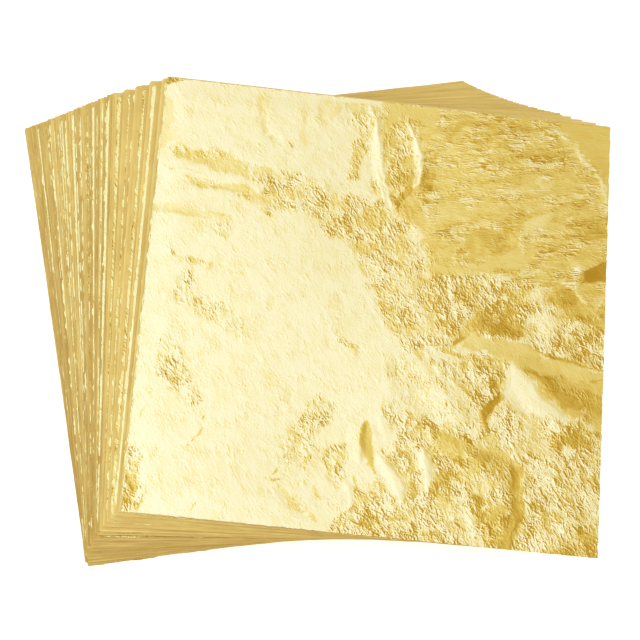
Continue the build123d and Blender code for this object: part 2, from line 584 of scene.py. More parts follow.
FRONT_FACETS = (
    Facet(0.60, 1.00, 0.010, (
        (-60, -465), (0, -445), (60, -440), (100, -432), (140, -420), (200, -445), (230, -520),
        (-60, -520))),
    Facet(0.66, 0.35, 0.006, (
        (30, -310), (60, -330), (85, -355), (100, -386), (102, -410), (78, -440), (60, -400),
        (40, -350))),
    Facet(0.97, 0.03, 0.002, (
        (10, -318), (25, -322), (60, -343), (79, -367), (91, -388), (83, -410), (70, -443), (62, -413),
        (42, -390), (25, -367))),
    Facet(0.97, 0.04, 0.003, ((5, -235), (29, -229), (36, -258), (40, -285), (25, -297), (12, -270))),
    Facet(0.40, 0.06, 0.003, (
        (-4, -250), (4, -258), (8, -297), (14, -320), (25, -367), (17, -373), (4, -342), (-10, -322),
        (-17, -297), (-14, -266))),
    Facet(0.48, 0.35, 0.003, (
        (-30, -363), (-18, -378), (-8, -406), (-2, -427), (-18, -423), (-26, -390))),
    Facet(0.79, 0.50, 0.010, ((-91, -320), (-48, -310), (-36, -386), (-60, -400), (-88, -380))),
    Facet(0.98, 0.05, 0.003, (
        (-58, -385), (-44, -378), (-25, -400), (-22, -440), (-40, -452), (-50, -420))),
    Facet(0.83, 0.60, 0.014, (
        (-180, -274), (-141, -250), (-110, -205), (-79, -222), (-87, -250), (-110, -289), (-122, -336),
        (-126, -375), (-149, -360), (-180, -347), (-168, -305))),
    Facet(0.72, 0.85, 0.005, (
        (-505, -363), (-479, -367), (-472, -386), (-476, -413), (-460, -452), (-450, -468), (-474, -500),
        (-505, -505))),
    Facet(0.34, 0.60, 0.004, ((-505, -412), (-479, -422), (-474, -452), (-483, -500), (-505, -505))),
)
LEFT_FACETS = (
    Facet(0.80, 0.06, 0.012, ((-505, 470), (-478, 444), (-468, 402), (-466, 343), (-505, 330))),
    Facet(0.70, 0.22, 0.006, (
        (-505, 333), (-464, 342), (-413, 322), (-382, 343), (-355, 328), (-300, 318), (-240, 300),
        (-230, 275), (-300, 283), (-343, 279), (-402, 297), (-460, 310))),
    Facet(0.66, 0.24, 0.003, (
        (-443, 266), (-402, 262), (-351, 263), (-301, 263), (-280, 250), (-200, 223), (-240, 210),
        (-301, 226), (-343, 242), (-382, 240), (-417, 246))),
    Facet(0.66, 0.55, 0.008, (
        (-275, 300), (-240, 285), (-225, 255), (-200, 225), (-235, 235), (-268, 255))),
    Facet(0.78, 0.10, 0.003, (
        (-505, 193), (-452, 197), (-402, 193), (-336, 186), (-320, 172), (-363, 169), (-402, 175),
        (-452, 177), (-505, 179))),
    Facet(0.86, 0.60, 0.010, ((-375, 168), (-330, 172), (-322, 140), (-340, 110), (-360, 130))),
    Facet(0.76, 0.35, 0.003, ((-427, 83), (-402, 80), (-359, 69), (-362, 46), (-378, 60), (-415, 63))),
    Facet(0.80, 0.50, 0.006, ((-460, 100), (-437, 88), (-437, 73), (-452, 80))),
    Facet(0.86, 0.75, 0.008, ((-428, 50), (-394, 30), (-404, -10), (-429, -36), (-430, 0))),
    Facet(0.80, 0.05, 0.003, (
        (-295, 483), (-273, 474), (-273, 402), (-258, 386), (-231, 368), (-236, 359), (-262, 374),
        (-281, 396), (-286, 433))),
    Facet(0.84, 0.08, 0.005, (
        (-198, 456), (-184, 450), (-188, 398), (-166, 371), (-180, 369), (-197, 392))),
    Facet(0.82, 0.10, 0.005, ((-165, 487), (-102, 487), (-106, 460), (-140, 425), (-157, 437))),
    Facet(0.70, 0.30, 0.005, (
        (-99, 491), (-64, 487), (-38, 472), (-31, 444), (-33, 402), (-52, 402), (-71, 421), (-95, 433))),
    Facet(0.58, 0.45, 0.006, (
        (-75, 398), (-48, 398), (-44, 375), (-56, 336), (-60, 301), (-79, 301), (-83, 355))),
    Facet(0.88, 0.45, 0.016, (
        (-400, -10), (-330, -10), (-290, -60), (-290, -95), (-340, -70), (-385, -60))),
    Facet(0.90, 0.50, 0.014, (
        (-460, -110), (-400, -130), (-380, -200), (-345, -250), (-400, -240), (-450, -200))),
    Facet(0.10, 0.70, 0.003, ((-505, 505), (-456, 505), (-481, 487), (-505, 479))),
)
FACETS = (
    BROAD_FACETS + BELT_FACETS + BACK_FACETS + RIGHT_FACETS + RIDGE_FACETS + ARCH_FACETS + FRONT_FACETS
    + LEFT_FACETS
)

STREAKS = (
    Streak(0.92, 0.60, 0.0045, (
        (370, 477), (394, 458), (421, 445), (434, 416), (462, 395), (482, 371), (490, 342), (500, 290))),
    Streak(0.90, 0.50, 0.0040, ((426, 104), (440, 84), (458, 67))),
    Streak(0.60, 0.40, 0.0035, ((12, 452), (19, 400), (14, 363))),
    Streak(0.80, 0.70, 0.0050, ((289, 223), (303, 214), (311, 192), (314, 170))),
    Streak(0.20, 0.10, 0.0040, ((345, -50), (392, -67), (436, -71), (480, -82))),
    Streak(0.14, 0.10, 0.0060, ((197, -40), (181, -44), (170, -60))),
    Streak(0.42, 0.30, 0.0050, ((115, -60), (150, -74), (188, -84))),
    Streak(0.92, 0.30, 0.0060, ((100, -78), (150, -90), (200, -92))),
    Streak(0.36, 0.40, 0.0060, ((137, -108), (147, -128), (176, -142), (200, -162), (238, -190))),
    Streak(0.40, 0.40, 0.0035, ((62, -56), (84, -80), (104, -102))),
    Streak(0.34, 0.60, 0.0050, (
        (83, -256), (102, -246), (118, -243), (141, -248), (165, -240), (192, -236))),
    Streak(0.55, 0.40, 0.0030, ((27, -200), (34, -232), (44, -262), (64, -288))),
    Streak(0.92, 0.30, 0.0025, ((248, -390), (262, -410))),
    Streak(0.92, 0.30, 0.0025, ((297, -408), (310, -432))),
    Streak(0.80, 0.30, 0.0018, ((248, -420), (260, -446))),
    Streak(0.62, 0.40, 0.0016, ((225, -478), (270, -482), (315, -476))),
    Streak(0.95, 0.30, 0.0030, ((462, -325), (478, -365), (492, -405))),
    Streak(0.35, 0.50, 0.0035, ((104, -440), (112, -420), (136, -406))),
    Streak(0.30, 0.60, 0.0030, ((-52, -496), (-40, -482), (-10, -488), (6, -462))),
    Streak(0.95, 0.60, 0.0030, ((110, -468), (130, -450), (140, -424))),
    Streak(0.95, 0.60, 0.0028, ((20, -478), (70, -462), (120, -478), (170, -464))),
    Streak(0.30, 0.60, 0.0025, ((10, -460), (50, -452), (95, -458))),
    Streak(0.35, 0.60, 0.0025, ((60, -486), (110, -492), (160, -482), (200, -490))),
    Streak(0.58, 0.20, 0.0070, ((-182, -408), (-168, -422), (-149, -450), (-106, -468), (-98, -478))),
    Streak(0.62, 0.20, 0.0050, ((-106, -402), (-99, -428), (-91, -446))),
    Streak(0.45, 0.50, 0.0025, ((-214, -396), (-196, -402), (-174, -392))),
    Streak(0.30, 0.50, 0.0025, ((-193, -386), (-183, -366))),
    Streak(0.45, 0.50, 0.0024, ((-464, -180), (-452, -196), (-402, -212), (-405, -236))),
    Streak(0.50, 0.40, 0.0020, ((-378, -344), (-351, -308), (-351, -278))),
    Streak(0.45, 0.40, 0.0022, ((-372, -226), (-355, -248))),
    Streak(0.60, 0.30, 0.0018, ((-478, -298), (-480, -280), (-470, -268))),
    Streak(0.86, 0.40, 0.0080, ((-96, -45), (-63, -80), (-28, -93))),
    Streak(0.86, 0.10, 0.0040, ((-500, 61), (-452, 54))),
    Streak(0.45, 0.20, 0.0028, ((-352, 182), (-344, 184))),
    Streak(0.88, 0.10, 0.0014, ((-352, -330), (-330, -385), (-296, -440))),
    Streak(0.88, 0.10, 0.0014, ((-270, -402), (-248, -440), (-240, -478))),
    Streak(0.50, 0.20, 0.0022, ((-359, -482), (-350, -466))),
    Streak(0.80, 0.10, 0.0035, ((-448, 456), (-440, 436), (-435, 410))),
    Streak(0.72, 0.50, 0.0030, ((-226, 380), (-215, 372), (-208, 356))),
    Streak(0.85, 0.30, 0.0030, ((-480, 278), (-440, 282), (-400, 272))),
)

FOLDS = (
    Fold(0.0034, 0.020, 0.016, ((28, 224), (4, 275), (-10, 330), (-20, 400), (-28, 450), (-45, 489))),
    Fold(0.0030, 0.016, 0.012, ((66, 300), (78, 330), (76, 380), (62, 418), (42, 450))),
    Fold(0.0018, 0.012, 0.006, (
        (500, 290), (490, 342), (482, 371), (462, 395), (434, 416), (421, 445), (375, 474))),
    Fold(0.0022, 0.012, 0.020, ((428, 98), (432, 125), (444, 152), (500, 190))),
    Fold(-0.0016, 0.030, 0.030, ((105, 350), (140, 415), (170, 465))),
    Fold(-0.0014, 0.035, 0.030, ((150, 255), (230, 300), (330, 335), (420, 350))),
    Fold(0.0016, 0.030, 0.026, ((290, 190), (330, 235), (380, 272))),
    Fold(0.0020, 0.040, 0.024, ((398, -20), (360, 50), (350, 95))),
    Fold(0.0040, 0.060, 0.060, ((293, -77), (362, -140), (432, -195), (502, -245))),
    Fold(0.0018, 0.024, 0.030, ((190, -36), (300, -34), (400, -70), (502, -88))),
    Fold(-0.0026, 0.014, 0.014, (
        (262, -244), (243, -222), (244, -200), (266, -178), (280, -156), (265, -134))),
    Fold(0.0020, 0.016, 0.030, ((137, -108), (176, -142), (238, -190))),
    Fold(0.0022, 0.030, 0.012, ((-14, -340), (-18, -300), (-12, -255))),
    Fold(0.0024, 0.030, 0.018, ((78, -430), (60, -370), (25, -325))),
    Fold(0.0026, 0.016, 0.024, ((128, -395), (126, -350), (114, -295))),
    Fold(-0.0018, 0.008, 0.010, ((83, -256), (141, -248), (192, -236))),
    Fold(0.0034, 0.050, 0.026, ((300, -480), (296, -390), (285, -330), (200, -300))),
    Fold(0.0020, 0.020, 0.030, ((250, -490), (230, -440), (215, -385))),
    Fold(-0.0012, 0.024, 0.026, ((-505, 325), (-364, 312), (-230, 285))),
    Fold(-0.0012, 0.018, 0.018, ((-440, 256), (-351, 252), (-203, 220))),
    Fold(-0.0010, 0.010, 0.012, ((-505, 186), (-402, 184), (-323, 176))),
    Fold(-0.0010, 0.012, 0.014, ((-230, 365), (-268, 392), (-280, 430), (-284, 478))),
    Fold(-0.0012, 0.012, 0.014, ((-100, -478), (-149, -452), (-182, -408))),
)


@dataclass(frozen=True)
class LeafLook:
    """How the top leaf's shades, wrinkles and rim are drawn. Lengths are shares of its side.

    Attributes:
        bend_across: noise that bends the outlines of facets and streaks to the right.
        bend_along: noise that bends them to the back.
        ragged: noise that frays the facets' borders.
        fray: how far it frays them, in widths of the border.
        fade: half width of the fading border, in widths of the border.
        calm_rough: roughness where no facet lies.
        even_tone: shade of a facet that lies level.
        lean_edge: how far inside the border a slant is full: in widths of the border, plus a length.
        streak_taper: a streak's width at its ends, and what it gains in the middle.
        streak_fade: where a streak starts to fade and where it has gone, in half widths.
        clouds: soft changes of shade over the whole leaf.
        patch_waves: soft patches of more or less crumpled foil.
        patch_facets: sharp patches of it.
        patch_span: values of the patches where the foil is least and most crumpled.
        patch_gain: share of the roughness that is always there, and what the patches add.
        least_rough: least roughness anywhere.
        strands: painted shade of the long wrinkles that run to the back.
        level_strands: painted shade of those that run from left to right.
        strand_grain: how the former lie.
        level_strand_grain: how the latter lie.
        strand_tone: how much paler or deeper their painted shade makes them.
        strand_rest: how much of them shows on smooth foil.
        bright_wires: noise whose zero lines are the lit crease lines.
        dark_wires: noise whose zero lines are the shaded ones.
        wire_grain: how they lie.
        wire_core: value of the noise up to which a crease line is full.
        crumple_bends: how far the crumples are bent and how wide those bends are, in crumples.
        crumple_seeds: first seeds of the two bends and of the steep and the level crumples.
        crumple_grain: how the steep crumples lie.
        level_crumple_grain: how the level ones lie.
        level_crumple: width and height of the level crumples as shares of the steep ones'.
        warp_across: noise that bends the folds to the right.
        warp_along: noise that bends them to the back.
        fold_ends: how fast a fold rises from its ends, and how high it is there.
        swells: the long low swells.
        sunk_percent: percentage of the foil that lies down on the pack.
        rim_gain: share of its height that the foil keeps at the rim, and what it gains inside.
        knee_share: share of the room up to which heights are kept; above it they flatten out.
        level_right: where the wrinkles turn level, from left to right.
        level_back: where they turn level, from front to back.
        level_slope: slope of that border.
        lit_limit: steepest slope that changes the shade.
        rim_pull: width of the border that follows the wavering edge.
        rim_seed: whole number that picks how the edge wavers.
        rim_lengths: wavelengths of that wavering.
    """

    bend_across: tuple[Layer, ...] = (Layer(0.0034, 0.040, 6), Layer(0.0020, 0.012, 7))
    bend_along: tuple[Layer, ...] = (Layer(0.0034, 0.040, 8), Layer(0.0020, 0.012, 9))
    ragged: tuple[Layer, ...] = (Layer(0.6, 0.045, 15), Layer(0.5, 0.016, 16))
    fray: float = 1.5
    fade: float = 0.45
    calm_rough: float = 0.09
    even_tone: float = 0.6
    lean_edge: Span = (2, 0.004)
    streak_taper: Span = (0.35, 0.65)
    streak_fade: Span = (0.5, 1.3)
    clouds: tuple[Layer, ...] = (Layer(0.022, 0.13, 11), Layer(0.016, 0.05, 12))
    patch_waves: Layer = Layer(1.0, 0.06, 13)
    patch_facets: Layer = Layer(0.6, 0.03, 14)
    patch_span: Span = (-0.7, 0.9)
    patch_gain: Span = (0.45, 0.95)
    least_rough: float = 0.03
    strands: tuple[Layer, ...] = (Layer(0.6, 0.014, 33), Layer(0.4, 0.030, 34), Layer(0.5, 0.060, 37))
    level_strands: tuple[Layer, ...] = (Layer(0.4, 0.016, 35), Layer(0.5, 0.034, 36))
    strand_grain: SteepGrain = SteepGrain(0.83, 0.56, 3.5)
    level_strand_grain: LevelGrain = LevelGrain(0.25, 4.5)
    strand_tone: float = 0.20
    strand_rest: float = 0.15
    bright_wires: tuple[Layer, ...] = (Layer(1.0, 0.028, 41), Layer(0.8, 0.015, 42))
    dark_wires: tuple[Layer, ...] = (Layer(0.8, 0.021, 43),)
    wire_grain: SteepGrain = SteepGrain(0.83, 0.56, 1.7)
    wire_core: float = 0.02
    crumple_bends: Span = (0.35, 0.9)
    crumple_seeds: tuple[int, ...] = (50, 60, 70, 80)
    crumple_grain: SteepGrain = SteepGrain(0.89, 0.46, 1.9)
    level_crumple_grain: LevelGrain = LevelGrain(-0.10, 2.2)
    level_crumple: Span = (0.8, 0.75)
    warp_across: Layer = Layer(0.0022, 0.025, 23)
    warp_along: Layer = Layer(0.0022, 0.025, 24)
    fold_ends: Span = (6, 0.35)
    swells: Layer = Layer(0.5, 0.55, 31)
    sunk_percent: float = 2
    rim_gain: Span = (0.45, 0.55)
    knee_share: float = 0.7
    level_right: Span = (0.02, 0.12)
    level_back: Span = (0.12, 0.24)
    level_slope: float = 0.25
    lit_limit: float = 0.25
    rim_pull: float = 0.02
    rim_seed: int = 71
    rim_lengths: tuple[float, ...] = (0.05, 0.02, 0.011)


@dataclass
class TopLeaf:
    """The bare crumpled leaf on top of the pack.

    Attributes:
        side: length of its side.
        ceiling: greatest height of the foil above its seat.
        cells: cells of its mesh along a side; a multiple of under_step.
        under_step: how many of those cells one cell of its underside spans.
        thickness: how thick the foil is drawn.
        rim_wave: how far its edge strays from a straight line.
        rim_share: width of the border that lies down on the pack, as a share of the side.
        swell: height of its long low swells.
        ground: least height of the foil above its seat.
        pale: shade of the parts that no facet covers, a painted reflection of the bright light.
        tilt: slant of a facet for each step of its shade.
        tilt_reach: how far from its middle a facet slants, as a share of the side.
        slope_tone: how much paler a slope towards the light is, for each unit of slope.
        light: heading of the light seen from above, in the leaf's axes.
        fold_rise: share of the folds' heights that this leaf keeps, pressed as it is.
        wire_width: width of the thin crease lines, as a share of the side.
        wire_tone: how much paler a lit crease line is painted, as a highlight, and how much deeper a shaded
            one is painted.
        crumple: width of a crumple's flat sides as a share of the side, and its height.
        look: how its shades, wrinkles and rim are drawn.
    """

    side: float
    ceiling: float
    cells: int = 300
    under_step: int = 4
    thickness: float = 0.012 * MM
    rim_wave: float = 0.35 * MM
    rim_share: float = 0.060
    swell: float = 0.30 * MM
    ground: float = 0.01 * MM
    pale: float = 0.955
    tilt: float = 0.10
    tilt_reach: float = 0.025
    slope_tone: float = 1.2
    light: tuple[float, float] = (-0.862, -0.507)
    fold_rise: float = 0.38
    wire_width: float = 0.0028
    wire_tone: float = 0.50
    crumple: tuple[Span, ...] = ((0.030, 0.06 * MM), (0.015, 0.08 * MM), (0.0085, 0.10 * MM))
    look: LeafLook = LeafLook()

    def paint(
        self, x: np.ndarray, y: np.ndarray, level: np.ndarray
    ) -> tuple[np.ndarray, np.ndarray, np.ndarray]:
        """Paints the leaf's light and shade into its tone facet by facet, each over the ones before it.

        Args:
            x: places to the right, as shares of the side.
            y: places to the back, as shares of the side.
            level: how much the wrinkles run from left to right there rather than to the back.

        Returns:
            The tone, the roughness, and the height of the slanting facets as a share of the side.
        """
        look = self.look
        bend_x = sum((layer.facets(x, y) for layer in look.bend_across), x)
        bend_y = sum((layer.facets(x, y) for layer in look.bend_along), y)
        ragged = sum(layer.facets(x, y) for layer in look.ragged)
        tone = np.full_like(x, self.pale)
        rough = np.full_like(x, look.calm_rough)
        lean = np.zeros_like(x)
        for facet in FACETS:
            corners = as_shares(facet.corners)
            gap = outline_gap(bend_x, bend_y, corners)
            half = look.fade * facet.soft
            inside = 1 - step_up(gap + look.fray * facet.soft * ragged, -half, half)
            tone += (facet.tone - tone) * inside
            rough += (facet.rough - rough) * inside
            middle_x, middle_y = np.mean(corners, axis=0)
            ahead = (bend_x - middle_x) * self.light[0] + (bend_y - middle_y) * self.light[1]
            reach = np.clip(ahead, -self.tilt_reach, self.tilt_reach)
            full = -look.lean_edge[0] * facet.soft - look.lean_edge[1]
            lean -= self.tilt * (facet.tone - look.even_tone) * reach * (1 - step_up(gap, full, 0))
        for streak in STREAKS:
            gap, along, _ = line_gap(bend_x, bend_y, as_shares(streak.points))
            width = streak.width * (look.streak_taper[0] + look.streak_taper[1] * np.sin(math.pi * along))
            inside = 1 - step_up(gap / width, *look.streak_fade)
            tone += (streak.tone - tone) * inside
            rough += (streak.rough - rough) * inside
        tone += sum(layer.waves(x, y) for layer in look.clouds)
        patches = step_up(look.patch_waves.waves(x, y) + look.patch_facets.facets(x, y), *look.patch_span)
        rough = np.clip(rough * (look.patch_gain[0] + look.patch_gain[1] * patches), look.least_rough, 1)
        # Painted shade of the wrinkles, and painted highlights and shade of the crease lines.
        tone += look.strand_tone * (look.strand_rest + rough) * self.strands(x, y, level)
        bright, dark = self.wires(x, y, look.bright_wires), self.wires(x, y, look.dark_wires)
        tone += self.wire_tone * rough * (bright - dark)
        return tone, rough, lean

    def strands(self, x: np.ndarray, y: np.ndarray, level: np.ndarray) -> np.ndarray:
        """Painted shade of the long thin wrinkles.

        Args:
            x: places to the right, as shares of the side.
            y: places to the back, as shares of the side.
            level: how much they run from left to right there rather than to the back.

        Returns:
            The shade, from -1 to 1.
        """
        across, length = self.look.strand_grain.turn(x, y)
        steep = sum(layer.facets(across, length) for layer in self.look.strands)
        run, rise = self.look.level_strand_grain.turn(x, y)
        flat = sum(layer.facets(run, rise) for layer in self.look.level_strands)
        return steep + (flat - steep) * level

    def wires(self, x: np.ndarray, y: np.ndarray, layers: tuple[Layer, ...]) -> np.ndarray:
        """Thin bent lines where the foil is creased, whose highlights and shade are painted into the tone.

        Args:
            x: places to the right, as shares of the side.
            y: places to the back, as shares of the side.
            layers: noise whose zero lines they are.

        Returns:
            The sum of each layer's weight on its lines and 0 off them.
        """
        across, length = self.look.wire_grain.turn(x, y)
        core = self.look.wire_core
        total = np.zeros_like(x)
        for layer in layers:
            crease = np.abs(facet_noise(across, length, layer.cell, layer.seed))
            total += layer.weight * (1 - step_up(crease, core, core + self.wire_width / layer.cell))
        return total

    def crumples(self, x: np.ndarray, y: np.ndarray, rough: np.ndarray, level: np.ndarray) -> np.ndarray:
        """Heights of the crumples.

        Args:
            x: places to the right, as shares of the side.
            y: places to the back, as shares of the side.
            rough: roughness there.
            level: how much they run from left to right there rather than to the back.

        Returns:
            The height, in metres.
        """
        look = self.look
        width_share, height_share = look.level_crumple
        total = np.zeros_like(x)
        for number, (cell, height) in enumerate(self.crumple):
            right_seed, back_seed, steep_seed, level_seed = (seed + number for seed in look.crumple_seeds)
            reach, bend = look.crumple_bends[0] * cell, look.crumple_bends[1] * cell
            shift_x = x + reach * facet_noise(x, y, bend, right_seed)
            shift_y = y + reach * facet_noise(x, y, bend, back_seed)
            steep = facet_noise(*look.crumple_grain.turn(shift_x, shift_y), cell, steep_seed)
            run, rise = look.level_crumple_grain.turn(shift_x, shift_y)
            flat = facet_noise(run, rise, width_share * cell, level_seed)
            total += height * rough * ((1 - level) * steep + height_share * level * flat)
        return total

    def heights(self, x: np.ndarray, y: np.ndarray, lean: np.ndarray, crumples: np.ndarray) -> np.ndarray:
        """Height of the foil above its seat.

        Args:
            x: places to the right, as shares of the side.
            y: places to the back, as shares of the side.
            lean: height of the slanting facets, as a share of the side.
            crumples: height of the crumples, in metres.

        Returns:
            The height, in metres.
        """
        look = self.look
        warp_x, warp_y = x + look.warp_across.facets(x, y), y + look.warp_along.facets(x, y)
        rise, sink = np.zeros_like(x), np.zeros_like(x)
        for fold in FOLDS:
            gap, along, left = line_gap(warp_x, warp_y, as_shares(fold.points))
            ends = np.clip(np.minimum(along, 1 - along) * look.fold_ends[0] + look.fold_ends[1], 0, 1)
            foot = np.where(left, fold.left_foot, fold.right_foot) * ends
            part = self.fold_rise * fold.height * ends * np.clip(1 - gap / foot, 0, 1)
            rise, sink = np.maximum(rise, part), np.minimum(sink, part)
        total = (rise + sink + lean) * self.side + self.swell * look.swells.waves(x, y) + crumples
        total -= np.percentile(total, look.sunk_percent)
        border = 0.5 - np.maximum(np.abs(x), np.abs(y))
        total *= look.rim_gain[0] + look.rim_gain[1] * step_up(border, 0, self.rim_share)
        room = self.ceiling - self.thickness - self.ground
        knee = look.knee_share * room
        bent = knee + (room - knee) * (1 - np.exp(-np.maximum(total - knee, 0) / (room - knee)))
        LOG.info("top leaf: heights up to %.2f mm of %.2f mm", total.max() / MM, room / MM)
        return self.ground + np.where(total > knee, bent, np.maximum(total, 0))

    def build(self, seat: Seat) -> MeshParts:
        """Makes the foil as a thin closed mesh: a fine upper face, a coarser underside and a rim.

        Args:
            seat: where the leaf lies.

        Returns:
            Points, faces, and the tone with its painted light and shade, the roughness and the run of the
            crinkles at each point.
        """
        look = self.look
        count = self.cells + 1
        share = np.linspace(-0.5, 0.5, count)
        x, y = np.meshgrid(share, share, indexing="ij")
        level = step_up(x, *look.level_right) * step_up(y + look.level_slope * x, *look.level_back)
        tone, rough, lean = self.paint(x, y, level)
        height = self.heights(x, y, lean, self.crumples(x, y, rough, level))
        rise_x, rise_y = np.gradient(height, self.side / self.cells)
        slope = -self.light[0] * rise_x - self.light[1] * rise_y
        lit = np.clip(slope, -look.lit_limit, look.lit_limit)
        tone = np.clip(tone + self.slope_tone * lit, 0, 1)
        pull = np.minimum(1, (0.5 - np.maximum(np.abs(x), np.abs(y))) / look.rim_pull)
        wave = Wobble(look.rim_seed)
        inset, other = (0.5 * (1 + wave.line(share, look.rim_lengths)) * self.rim_wave for _ in range(2))
        shrink_x = 1 - 2 * (1 - pull) * inset[None, :] / self.side
        shrink_y = 1 - 2 * (1 - pull) * other[:, None] / self.side
        flat_x, flat_y = x * self.side * shrink_x, y * self.side * shrink_y
        over = np.stack([flat_x, flat_y, seat.low + height + self.thickness], axis=2)
        step = self.under_step
        under = np.stack([flat_x, flat_y, seat.low + height], axis=2)[::step, ::step]
        small = under.shape[0]
        points = np.concatenate([over.reshape(-1, 3), under.reshape(-1, 3)])
        base = count * count
        faces = []
        for i in range(self.cells):
            for j in range(self.cells):
                a = i * count + j
                faces.append((a, a + count, a + count + 1, a + 1))
        for i in range(small - 1):
            for j in range(small - 1):
                a = base + i * small + j
                faces.append((a, a + 1, a + small + 1, a + small))
        faces += self.rim(count, small, base)
        values = {}
        for name, grid in (("tone", tone), ("rough", rough), ("level", level)):
            values[name] = np.concatenate([grid.ravel(), grid[::step, ::step].ravel()])
        return seat.place(points), faces, values

    def rim(self, count: int, small: int, base: int) -> list[tuple[int, ...]]:
        """Joins the fine upper face to the coarse underside along the four edges.

        Args:
            count: points of the upper face along a side.
            small: points of the underside along a side.
            base: index of the underside's first point.

        Returns:
            The faces of the rim.
        """
        step = self.under_step
        last, end = count - 1, small - 1
        edges = (
            (lambda k: k * count, lambda k: base + k * small, False),
            (lambda k: k * count + last, lambda k: base + k * small + end, True),
            (lambda k: k, lambda k: base + k, True),
            (lambda k: last * count + k, lambda k: base + end * small + k, False),
        )
        faces = []
        for fine, coarse, turned in edges:
            for k in range(end):
                ring = [coarse(k), coarse(k + 1)] + [fine(n) for n in range((k + 1) * step, k * step - 1, -1)]
                faces.append(tuple(ring[::-1] if turned else ring))
        return faces


@dataclass(frozen=True)
class RimLook:
    """How the edges of one kind of sheet stray from the square of its solid.

    Attributes:
        inset: mean inset of the front, right, back and left edge.
        wave: how far the inset wavers.
        lengths: wavelengths of that wavering.
        spacing: distance between points along the front, right, back and left edge.
        corner: usual radius of the rounded corners.
        thickness: how thick the sheet is drawn.
        band: width of the strip along the edge that bends up and down.
        play: how far that strip may bend.
        reach: how far the edge comes out where it shows.
        shade: usual tone of the edge; on a leaf, how bright its painted glint is.
        glitter: how much the tone changes along the edge; on a leaf these changes are painted glints.
        grains: wavelengths of that change, in points of the edge.
    """

    inset: tuple[float, float, float, float]
    wave: float
    lengths: tuple[float, ...]
    spacing: tuple[float, float, float, float]
    corner: float
    thickness: float
    band: float
    play: float
    reach: float
    shade: float
    glitter: float
    grains: tuple[float, ...]


TISSUE_RIM = RimLook(
    inset=(0.06 * MM, 0.10 * MM, 0.06 * MM, 0.06 * MM),
    wave=0.06 * MM,
    lengths=(50 * MM, 18 * MM, 7 * MM),
    spacing=(1.4 * MM, 2.8 * MM, 2.8 * MM, 1.4 * MM),
    corner=0.35 * MM,
    thickness=0.035 * MM,
    band=0.8 * MM,
    play=0.010 * MM,
    reach=0.0,
    shade=0.5,
    glitter=0.30,
    grains=(40, 13, 5),
)
# A leaf's edge tone is painted light: its pale stretches are painted glints of the edges that show.
GOLD_RIM = RimLook(
    inset=(0.60 * MM, 0.60 * MM, 1.10 * MM, 0.52 * MM),
    wave=0.12 * MM,
    lengths=(24 * MM, 9 * MM, 3 * MM),
    spacing=(0.7 * MM, 2.8 * MM, 2.8 * MM, 0.5 * MM),
    corner=0.6 * MM,
    thickness=0.010 * MM,
    band=0.9 * MM,
    play=0.014 * MM,
    reach=0.36 * MM,
    shade=0.74,
    glitter=0.40,
    grains=(60, 23, 9),
)


@dataclass(frozen=True)
class Lie:
    """How one sheet lies in the fan.

    Attributes:
        pulls: how much further than usual an edge is drawn in.
        shows: how much of an edge comes out from under the next sheet, from 0 to 1.
        back_left: radius of its back left corner.
        skew: how much further in its left edge lies at the back than at the front.
    """

    pulls: dict[Edge, float]
    shows: dict[Edge, float]
    back_left: float
    skew: float = 0.0


